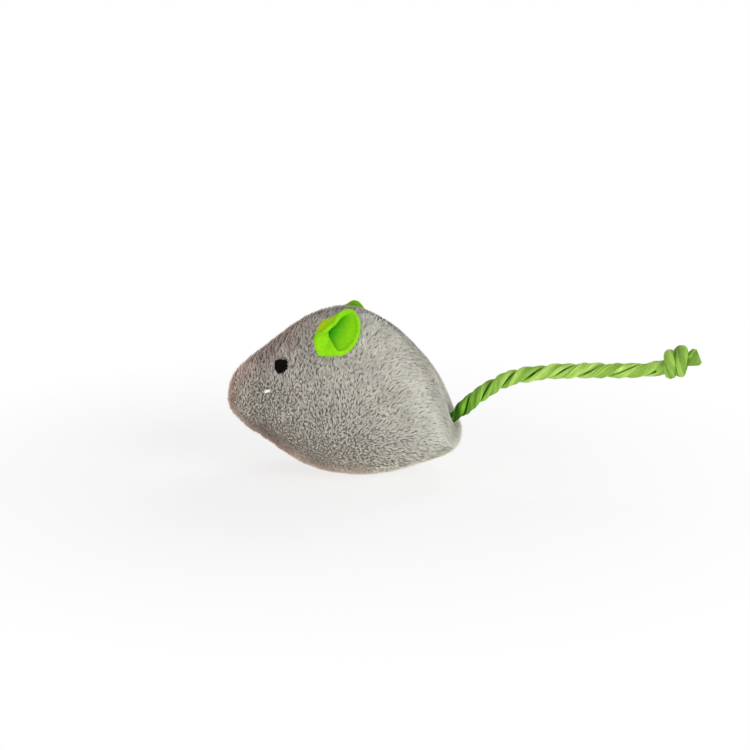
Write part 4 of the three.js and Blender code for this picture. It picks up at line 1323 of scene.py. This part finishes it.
def roughened(name, node, seed, voxel, depth, grain):
    """A node's solid, merged, remeshed in voxels, and moved along its normals by depth x (noise - 1) / 2,
    so that it only ever shrinks, at a coarse and a fine grain."""
    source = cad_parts[node]
    piece = add_object(name, source.data.copy())
    piece.data.materials.clear()
    weld = piece.modifiers.new("weld", "WELD")
    weld.merge_threshold = 0.01 * MM
    remesh = piece.modifiers.new("voxels", "REMESH")
    remesh.mode, remesh.voxel_size = "VOXEL", voxel
    evaluated = piece.evaluated_get(bpy.context.evaluated_depsgraph_get())
    finer = bpy.data.meshes.new_from_object(evaluated)
    piece.modifiers.clear()
    piece.data = finer
    count = len(finer.vertices)
    points, normals = np.empty(3 * count, np.float32), np.empty(3 * count, np.float32)
    finer.vertices.foreach_get("co", points)
    finer.vertices.foreach_get("normal", normals)
    points, normals = points.reshape(-1, 3).astype(float), normals.reshape(-1, 3)
    lumps = COARSE_SHARE * noise(seed, *(points[:, k] / grain for k in range(3)))
    lumps = lumps + FINE_SHARE * noise(seed + 1, *(points[:, k] / (FINE_GRAIN * grain) for k in range(3)))
    points = points + normals * (depth / 2 * (lumps - 1))[:, None]
    finer.vertices.foreach_set("co", points.astype(np.float32).ravel())
    finer.shade_smooth()
    print(name, "has", count, "points")
    return piece


filling_front = roughened("filling_wad_front", "filling_front", 91, **WAD_GRAIN)
filling_rear = roughened("filling_wad_rear", "filling_rear", 93, **WAD_GRAIN)
herb_bed = roughened("herb_bed", "catnip", 95, **HERB_GRAIN)
sheet_left = roughened("sachet_cloth_left", "sachet_sheet_left", 97, **SHEET_GRAIN)
sheet_right = roughened("sachet_cloth_right", "sachet_sheet_right", 98, **SHEET_GRAIN)

# %% [markdown]
# A finish is a small tree of nodes. It could be drawn by hand in the shader editor, but made by calls it can
# be read and changed here, so a few helpers place nodes and join them in one line each.

# %% Node helpers


def fill(tree, socket, value):
    """Gives an input its value, or a link if the value is another node's output."""
    if isinstance(value, bpy.types.NodeSocket):
        tree.links.new(value, socket)
    else:
        socket.default_value = value


def place_node(tree, kind, inputs=None, **settings):
    """Adds a node, sets its properties, and fills its inputs with values or with links from sockets."""
    made = tree.nodes.new(kind)
    for key, value in settings.items():
        setattr(made, key, value)
    for key, value in (inputs or {}).items():
        fill(tree, made.inputs[key], value)
    return made


def arithmetic(tree, operation, *values):
    """The output of a Math node over the values."""
    return place_node(tree, "ShaderNodeMath", dict(enumerate(values)), operation=operation).outputs[0]


def scaled(tree, colour, factor):
    """A colour times a number."""
    made = place_node(tree, "ShaderNodeVectorMath", {0: colour, "Scale": factor}, operation="SCALE")
    return made.outputs[0]


def new_group(name, inputs, outputs):
    """An empty shader node group with its sockets, and its input and output nodes."""
    tree = bpy.data.node_groups.new(name, "ShaderNodeTree")
    for direction, sockets in (("INPUT", inputs), ("OUTPUT", outputs)):
        for socket, kind in sockets.items():
            tree.interface.new_socket(socket, in_out=direction, socket_type="NodeSocket" + kind)
    return tree, tree.nodes.new("NodeGroupInput").outputs, tree.nodes.new("NodeGroupOutput").inputs


print("materials before these:", len(bpy.data.materials))

# %% [markdown]
# Two effects come back in several finishes, so each is a node group made once. Blotches make a colour
# lighter and darker in slow clouds. Drawn fibres are fine noise, stretched along one direction.

# %% Blotches and drawn fibres
blotches, given, result = new_group(
    "blotches",
    {"Vector": "Vector", "Colour": "Color", "Size": "Float", "Amount": "Float"},
    {"Colour": "Color"},
)
scale = arithmetic(blotches, "DIVIDE", 1, given["Size"])
cloud = place_node(blotches, "ShaderNodeTexNoise", {"Vector": given["Vector"], "Scale": scale, "Detail": 2})
centred = arithmetic(blotches, "SUBTRACT", cloud.outputs["Fac"], 0.5)
amount = arithmetic(blotches, "MULTIPLY", given["Amount"], 2)
factor = arithmetic(blotches, "MULTIPLY_ADD", centred, amount, 1)
blotches.links.new(scaled(blotches, given["Colour"], factor), result["Colour"])

fibres, given, result = new_group(
    "drawn fibres", {"Vector": "Vector", "Fineness": "Float", "Stretch": "Vector"}, {"Height": "Float"}
)
drawn = place_node(
    fibres, "ShaderNodeVectorMath", {0: given["Vector"], 1: given["Stretch"]}, operation="MULTIPLY"
)
strand = place_node(
    fibres, "ShaderNodeTexNoise",
    {"Vector": drawn.outputs[0], "Scale": given["Fineness"], "Detail": 3, "Roughness": 0.6},
)
sharper = place_node(
    fibres, "ShaderNodeMapRange", {"Value": strand.outputs["Fac"], "From Min": 0.3, "From Max": 0.7}
)
fibres.links.new(sharper.outputs[0], result["Height"])
print("node groups:", [group.name for group in (blotches, fibres)])

# %% [markdown]
# Each finish starts from a Principled shader, takes a colour mixed from two or three, and mostly a bump. The
# colours are written as they were measured, from 0 to 255, and turned into the linear ones a shader wants.

# %% Material helpers


def use_group(tree, group, **inputs):
    """Places a shared group in a material with its own values."""
    return place_node(tree, "ShaderNodeGroup", inputs, node_tree=group).outputs[0]


def attribute(tree, name):
    """A number that the piece carries at each vertex."""
    return place_node(tree, "ShaderNodeAttribute", attribute_name=name).outputs["Fac"]


def colour_of(red, green, blue):
    """A linear colour from the 0 to 255 values in which one is measured."""
    share = np.array([red, green, blue]) / 255
    linear = np.where(share > 0.04045, ((share + 0.055) / 1.055) ** 2.4, share / 12.92)
    return (*map(float, linear), 1.0)


def start_material(name, roughness, sheen=0.0, sheen_tint=(1, 1, 1, 1), gloss=0.2):
    """A material with a Principled shader. What is the same all over it is set on the shader itself."""
    material = bpy.data.materials.new(name)
    material.use_nodes = True
    shader = material.node_tree.nodes["Principled BSDF"]
    shader.inputs["Roughness"].default_value = roughness
    shader.inputs["Specular IOR Level"].default_value = gloss
    shader.inputs["Sheen Weight"].default_value = sheen
    shader.inputs["Sheen Roughness"].default_value = 0.5
    shader.inputs["Sheen Tint"].default_value = sheen_tint
    place = material.node_tree.nodes.new("ShaderNodeTexCoord").outputs["Object"]
    return material, material.node_tree, shader, place


def mixed(tree, share, low, high):
    """Low to high colour by a share."""
    made = place_node(tree, "ShaderNodeMix", data_type="RGBA")
    for socket, value in (("Factor", share), ("A", low), ("B", high)):
        fill(tree, [each for each in made.inputs if each.name == socket and each.enabled][0], value)
    return [each for each in made.outputs if each.enabled][0]


def bumped(tree, shader, height, strength, distance):
    """Sends a height through a Bump node to the shader's normal."""
    bump = place_node(tree, "ShaderNodeBump", {"Height": height, "Strength": strength, "Distance": distance})
    tree.links.new(bump.outputs[0], shader.inputs["Normal"])


print("middle grey, linear:", round(colour_of(128, 128, 128)[0], 3))

# %% [markdown]
# Plush is darkest between its locks and palest at the tips, where the fibres catch light from every side, and
# that is painted into the colour: painted shade at the roots, painted light at the tips. A painted sheen tint
# makes it browner on the nose, the brow and the underside, and painted light makes the nose and the underside
# paler. A picture could hold all that, but each blade already carries how far along it a point is, how much
# painted sheen tint it gets, and its lock's random tone plus painted light. Sheen stands for the halo of
# light that fine fibres give at a grazing view. The cloth under the pile is a plain knit.

# %% Plush
PILE_TIP, PILE_ROOT = colour_of(219, 218, 208), colour_of(206, 195, 185)
PILE_BROWN, PILE_HALO = colour_of(221, 203, 195), colour_of(236, 214, 208)
plush, tree, shader, place = start_material("grey_plush_pile", 0.9, sheen=0.2, sheen_tint=PILE_HALO)
# along the blade: painted shade at the root, painted light at the tip
along_blade = place_node(
    tree, "ShaderNodeMapRange", {"Value": attribute(tree, "tip_share"), "From Min": 0.1, "From Max": 0.95}
)
# painted sheen tint: the tips turn towards the browner colour
tip_colour = mixed(tree, attribute(tree, "brown"), PILE_TIP, PILE_BROWN)
blade_colour = mixed(tree, along_blade.outputs[0], PILE_ROOT, tip_colour)
# each lock's random tone plus painted light on the nose and the underside
shaded = scaled(tree, blade_colour, arithmetic(tree, "ADD", attribute(tree, "lock_shade"), 1))
mottled = use_group(tree, blotches, Vector=place, Colour=shaded, Size=3.5 * MM, Amount=0.14)
clouded = use_group(tree, blotches, Vector=place, Colour=mottled, Size=9 * MM, Amount=0.16)
tree.links.new(clouded, shader.inputs["Base Color"])

backing, tree, shader, place = start_material("grey_knit_backing", 0.95)
knit = use_group(tree, fibres, Vector=place, Fineness=1 / (0.5 * MM), Stretch=(1, 1, 2))
backing_colour = mixed(tree, knit, colour_of(126, 120, 114), colour_of(158, 152, 144))
tree.links.new(backing_colour, shader.inputs["Base Color"])
bumped(tree, shader, knit, 0.5, 0.1 * MM)
print("pile from root to tip, linear:", *(np.round(colour[:3], 2) for colour in (PILE_ROOT, PILE_TIP)))

# %% [markdown]
# Felt is matted fibre with no weave: short hairs in every direction and cloudy patches where the wool is
# thicker. Two layers of drawn fibres at right angles make the matt, and the blotches make the clouds.

# %% Felt
FELT_LIGHT, FELT_DEEP = colour_of(158, 220, 16), colour_of(122, 200, 6)
FELT_HOLLOW, FELT_OLIVE = colour_of(34, 156, 4), colour_of(166, 204, 0)
felt, tree, shader, place = start_material("lime_felt", 0.88, sheen=0.15, sheen_tint=colour_of(205, 240, 60))
matt_one = use_group(tree, fibres, Vector=place, Fineness=1 / (0.45 * MM), Stretch=(1, 0.35, 1))
matt_two = use_group(tree, fibres, Vector=place, Fineness=1 / (0.4 * MM), Stretch=(0.35, 1, 0.7))
matt = arithmetic(tree, "MULTIPLY", matt_one, matt_two)
felt_colour = mixed(tree, matt, FELT_DEEP, FELT_LIGHT)
outer_colour = mixed(tree, attribute(tree, "olive"), felt_colour, FELT_OLIVE)
# painted shade: the hollow of the cup darkened to a deep green
cup_colour = mixed(tree, attribute(tree, "hollow"), outer_colour, FELT_HOLLOW)
mottled = use_group(tree, blotches, Vector=place, Colour=cup_colour, Size=2.2 * MM, Amount=0.12)
tree.links.new(mottled, shader.inputs["Base Color"])
bumped(tree, shader, matt, 0.6, 0.12 * MM)
print("felt, linear:", np.round(FELT_LIGHT[:3], 2), "and in the hollow", np.round(FELT_HOLLOW[:3], 2))

# %% [markdown]
# Twisted paper has fine grain along each ply. Its colour is painted paler on the crests of its folds as
# painted light, and deep green down in the folds, in the crease between the plies and near the seam as
# painted shade. The plies carry their own coordinates, the share round and the run along, so the grain
# follows the twist, which a picture wrapped round the rope would not.

# %% Paper rope
PAPER_SLANT, THREAD_SLANT = 0.11, 0.9


def grain_vector(tree, slant):
    """Coordinates that follow a strand: (cos, sin) of the share round it plus slant x run, and the run."""
    share, run = attribute(tree, "ply_share"), attribute(tree, "ply_run")
    turned = arithmetic(tree, "MULTIPLY_ADD", run, slant, share)
    angle = arithmetic(tree, "MULTIPLY", turned, 2 * math.pi)
    x, y = arithmetic(tree, "COSINE", angle), arithmetic(tree, "SINE", angle)
    return place_node(tree, "ShaderNodeCombineXYZ", {"X": x, "Y": y, "Z": run}).outputs[0]


paper, tree, shader, place = start_material("lime_paper_rope", 0.72)
along_ply = grain_vector(tree, PAPER_SLANT)
grain = use_group(tree, fibres, Vector=along_ply, Fineness=6.0, Stretch=(1, 1, 0.05))
# painted light on the crests of the folds and painted shade down in them
crest = place_node(
    tree, "ShaderNodeMapRange", {"Value": attribute(tree, "fold"), "From Min": -0.15, "From Max": 0.8}
)
folded_colour = mixed(tree, crest.outputs[0], colour_of(104, 148, 34), colour_of(190, 226, 112))
pale_grain = mixed(tree, grain, colour_of(122, 168, 48), colour_of(194, 228, 120))
pale_paper = mixed(tree, 0.42, folded_colour, pale_grain)
deep_folds = mixed(tree, crest.outputs[0], colour_of(36, 92, 4), colour_of(112, 176, 36))
# painted shade: deeper green by the seam and in the knot
paper_colour = mixed(tree, attribute(tree, "deep_green"), pale_paper, deep_folds)
# painted shade in the crease between the plies
creased = mixed(tree, attribute(tree, "crease"), paper_colour, colour_of(36, 80, 6))
mottled = use_group(tree, blotches, Vector=place, Colour=creased, Size=2.5 * MM, Amount=0.14)
tree.links.new(mottled, shader.inputs["Base Color"])
bumped(tree, shader, grain, 0.6, 0.14 * MM)
print("paper rope has", len(tree.nodes), "nodes")

# %% [markdown]
# Sewing thread is built the same way as the rope, with a tighter slant for its own twist. Black embroidery
# thread is kept nearly matt, since in the photograph it shows no highlight.

# %% Threads


def thread_material(name, dark, light, roughness, sheen, gloss=0.2):
    """Twisted thread: slanted fine strands that are lighter on their crests."""
    material, tree, shader, place = start_material(name, roughness, sheen, gloss=gloss)
    along_thread = grain_vector(tree, THREAD_SLANT)
    strands = use_group(tree, fibres, Vector=along_thread, Fineness=2.2, Stretch=(1, 1, 0.02))
    strand_colour = mixed(tree, strands, dark, light)
    mottled = use_group(tree, blotches, Vector=place, Colour=strand_colour, Size=0.8 * MM, Amount=0.1)
    tree.links.new(mottled, shader.inputs["Base Color"])
    bumped(tree, shader, strands, 0.6, 0.06 * MM)
    return material


black_thread = thread_material(
    "black_embroidery_thread", colour_of(2, 2, 1), colour_of(12, 11, 9), 0.8, 0.0, gloss=0.06
)
white_thread = thread_material(
    "white_sewing_thread", colour_of(225, 223, 216), colour_of(250, 250, 247), 0.7, 0.2
)
grey_thread = thread_material("grey_sewing_thread", colour_of(74, 70, 66), colour_of(110, 106, 100), 0.8, 0.1)
print("threads:", [material.name for material in (black_thread, white_thread, grey_thread)])

# %% [markdown]
# What fills the toy is white fibre, thin nonwoven cloth and crushed green herb. All three are fibres that lie
# every way, so one material serves them, with their own colours and a size of fibre each.

# %% Loose stuff


def loose_material(name, dark, light, size, roughness, sheen=0.0):
    """Loose stuff: two colours mixed by fibres of a given size, with a bump to match."""
    material, tree, shader, place = start_material(name, roughness, sheen)
    strands = use_group(tree, fibres, Vector=place, Fineness=1 / size, Stretch=(1, 0.5, 0.8))
    strand_colour = mixed(tree, strands, dark, light)
    mottled = use_group(tree, blotches, Vector=place, Colour=strand_colour, Size=6 * size, Amount=0.08)
    tree.links.new(mottled, shader.inputs["Base Color"])
    bumped(tree, shader, strands, 0.7, 0.3 * size)
    return material


fibre_fill = loose_material(
    "white_fibre_filling", colour_of(214, 214, 210), colour_of(246, 246, 243), 0.5 * MM, 0.9, 0.3
)
sachet_cloth = loose_material(
    "white_nonwoven_cloth", colour_of(218, 220, 214), colour_of(240, 242, 236), 0.3 * MM, 0.85
)
dried_herb = loose_material(
    "dried_crushed_herb", colour_of(84, 92, 40), colour_of(150, 158, 92), 0.7 * MM, 0.9
)
print("loose stuff:", [material.name for material in (fibre_fill, sachet_cloth, dried_herb)])

# %% [markdown]
# The photograph's background is plain white, as paper lit by itself is. The floor is a wide round disc, made
# of rings that are fine near the toy and coarse far away.

# %% Floor
FLOOR_RADIUS = 3.0
FLOOR_ROWS, FLOOR_COLUMNS = 24, 96
floor_reach = FLOOR_RADIUS * np.linspace(0.02, 1, FLOOR_ROWS)[:, None] ** 2
floor_turn = 2 * math.pi * np.arange(FLOOR_COLUMNS)[None, :] / FLOOR_COLUMNS
floor_points = np.stack([
    floor_reach * np.cos(floor_turn),
    floor_reach * np.sin(floor_turn),
    0 * floor_reach * floor_turn,
], -1)
inner = np.arange(FLOOR_COLUMNS)
middle_fan = np.stack([inner, (inner + 1) % FLOOR_COLUMNS, 0 * inner + FLOOR_ROWS * FLOOR_COLUMNS], -1)
floor = new_piece(
    "floor",
    np.concatenate([floor_points.reshape(-1, 3), [[0, 0, 0]]]),
    grid_faces(FLOOR_ROWS, FLOOR_COLUMNS, wrap=True, flip=True),
    middle_fan,
)
print("floor across, m:", 2 * FLOOR_RADIUS)

# %% [markdown]
# The paper is pale matt white. For camera rays it is mixed with a plain white glow of strength 1, more and
# more with distance, so it melts into the white world, and near the toy it still takes the toy's shadow. For
# every other ray nearly all of the floor glows, as a light table does, which is why the belly in the
# photograph isn't dark. A plain white floor alone would leave a grey edge where it meets the world.

# %% White paper
TABLE_GLOW = 0.95
MELTS_FROM, MELTED_AT, LEAST_GLOW = 0.06, 0.14, 0.72


def white_to_the_camera(tree):
    """1 for rays that carry the background to the eye: straight, by reflection or through glass."""
    rays = tree.nodes.new("ShaderNodeLightPath").outputs
    either = arithmetic(tree, "MAXIMUM", rays["Is Camera Ray"], rays["Is Glossy Ray"])
    return arithmetic(tree, "MAXIMUM", either, rays["Is Transmission Ray"])


paper_white, tree, shader, place = start_material("white_paper_floor", 0.95, gloss=0.1)
tooth = use_group(tree, blotches, Vector=place, Colour=(0.92, 0.92, 0.92, 1), Size=4 * MM, Amount=0.01)
tree.links.new(tooth, shader.inputs["Base Color"])
glow = place_node(tree, "ShaderNodeEmission", {"Color": (1, 1, 1, 1), "Strength": 1})
distance = place_node(tree, "ShaderNodeVectorMath", {0: place}, operation="LENGTH")
fading = place_node(
    tree, "ShaderNodeMapRange",
    {"Value": distance.outputs["Value"], "From Min": MELTS_FROM, "From Max": MELTED_AT, "To Min": LEAST_GLOW},
)
glow_share = place_node(
    tree, "ShaderNodeMapRange",
    {"Value": white_to_the_camera(tree), "To Min": TABLE_GLOW, "To Max": fading.outputs[0]},
)
both = place_node(
    tree, "ShaderNodeMixShader", {0: glow_share.outputs[0], 1: shader.outputs[0], 2: glow.outputs[0]}
)
tree.links.new(both.outputs[0], tree.nodes["Material Output"].inputs["Surface"])
floor.data.materials.append(paper_white)
print("the floor glows by", LEAST_GLOW, "under the toy and fully from", MELTED_AT, "m out")

# %% [markdown]
# The light is soft and plain. The white surroundings give about half of it from every side, and a large lamp
# from the front right gives most of the rest, so the rump is the brightest part and the nose the darkest. A
# weaker one low in front fills the shade under the cheek, and one behind lights the back's edge. Lamp
# strengths are set so that a colour renders about as it is written.

# %% Lamps and world
AMBIENT = 0.44
LAMP_AIM = Vector((0, 0, 20 * MM))


def soft_lamp(name, place, width, height, power):
    """An area lamp at a place, turned to face the toy."""
    lamp = bpy.data.lights.new(name, "AREA")
    lamp.shape, lamp.size, lamp.size_y, lamp.energy = "RECTANGLE", width, height, power
    made = add_object(name, lamp)
    made.location = place
    made.rotation_euler = (LAMP_AIM - Vector(place)).to_track_quat("-Z", "Y").to_euler()
    return made


soft_lamp("key_lamp", (0.56, -0.38, 0.28), 0.45, 0.45, 2.7)
soft_lamp("low_fill_lamp", (-0.2, -0.62, 0.05), 0.6, 0.09, 1.5)
soft_lamp("back_lamp", (0.22, 0.55, 0.42), 0.4, 0.4, 1.8)

world = bpy.data.worlds.new("white_surroundings")
bpy.context.scene.world = world
world.use_nodes = True
tree = world.node_tree
background = tree.nodes["Background"]
background.inputs["Color"].default_value = (1, 1, 1, 1)
strength = place_node(
    tree, "ShaderNodeMapRange", {"Value": white_to_the_camera(tree), "To Min": AMBIENT, "To Max": 1}
)
tree.links.new(strength.outputs[0], background.inputs["Strength"])
print("lamps, W:", {lamp.name: round(lamp.energy, 1) for lamp in bpy.data.lights})

# %% [markdown]
# Last, each piece gets its material, is attached to the body it moves with, and the solids it stands for are
# hidden. The pile stands for no solid of its own, since each panel's solid is taken by the cloth under it.

PIECES = [
    (cover_left, backing, "plush", "mouse", ["side_panel_left"]),
    (cover_right, backing, "plush", "mouse", ["side_panel_right"]),
    (cover_belly, backing, "plush", "mouse", ["belly_panel"]),
    (pile_left, plush, "plush", "mouse", []),
    (pile_right, plush, "plush", "mouse", []),
    (pile_belly, plush, "plush", "mouse", []),
    (spine_thread, grey_thread, "grey_thread", "mouse", ["spine_seam_thread"]),
    (belly_thread_left, grey_thread, "grey_thread", "mouse", ["belly_seam_thread_left"]),
    (belly_thread_right, grey_thread, "grey_thread", "mouse", ["belly_seam_thread_right"]),
    (closing_stitch, grey_thread, "grey_thread", "mouse", ["closing_stitch"]),
    (ear_tack_left, grey_thread, "grey_thread", "mouse", ["ear_tack_left"]),
    (ear_tack_right, grey_thread, "grey_thread", "mouse", ["ear_tack_right"]),
    (eye_left, black_thread, "black_thread", "mouse", ["eye_left"]),
    (eye_right, black_thread, "black_thread", "mouse", ["eye_right"]),
    (muzzle_left, white_thread, "white_thread", "mouse", ["muzzle_stitch_left"]),
    (muzzle_right, white_thread, "white_thread", "mouse", ["muzzle_stitch_right"]),
    (filling_front, fibre_fill, "fibre", "mouse", ["filling_front"]),
    (filling_rear, fibre_fill, "fibre", "mouse", ["filling_rear"]),
    (sheet_left, sachet_cloth, "sachet_cloth", "mouse", ["sachet_sheet_left"]),
    (sheet_right, sachet_cloth, "sachet_cloth", "mouse", ["sachet_sheet_right"]),
    (herb_bed, dried_herb, "herb", "mouse", ["catnip"]),
    (tail_anchor, paper, "paper_rope", "mouse", ["tail_anchor"]),
    (tail_root, paper, "paper_rope", "tail_base", ["tail_root"]),
    (tail_rope, paper, "paper_rope", None, ["tail_rope"]),
    (tail_knot, paper, "paper_rope", "tail", ["tail_knot"]),
    (ear_left, felt, "felt", "ear_left_flap", ["ear_left"]),
    (ear_right, felt, "felt", "ear_right_flap", ["ear_right"]),
]
for piece, material, finish, body, nodes in PIECES:
    piece.data.materials.append(material)
    if body:
        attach(piece, body)
    if nodes:
        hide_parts(*nodes)
print(len(PIECES), "pieces stand for", sum(len(row[-1]) for row in PIECES), "solids")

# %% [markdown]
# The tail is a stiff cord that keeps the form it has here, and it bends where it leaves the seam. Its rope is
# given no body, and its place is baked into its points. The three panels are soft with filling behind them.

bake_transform(tail_rope)
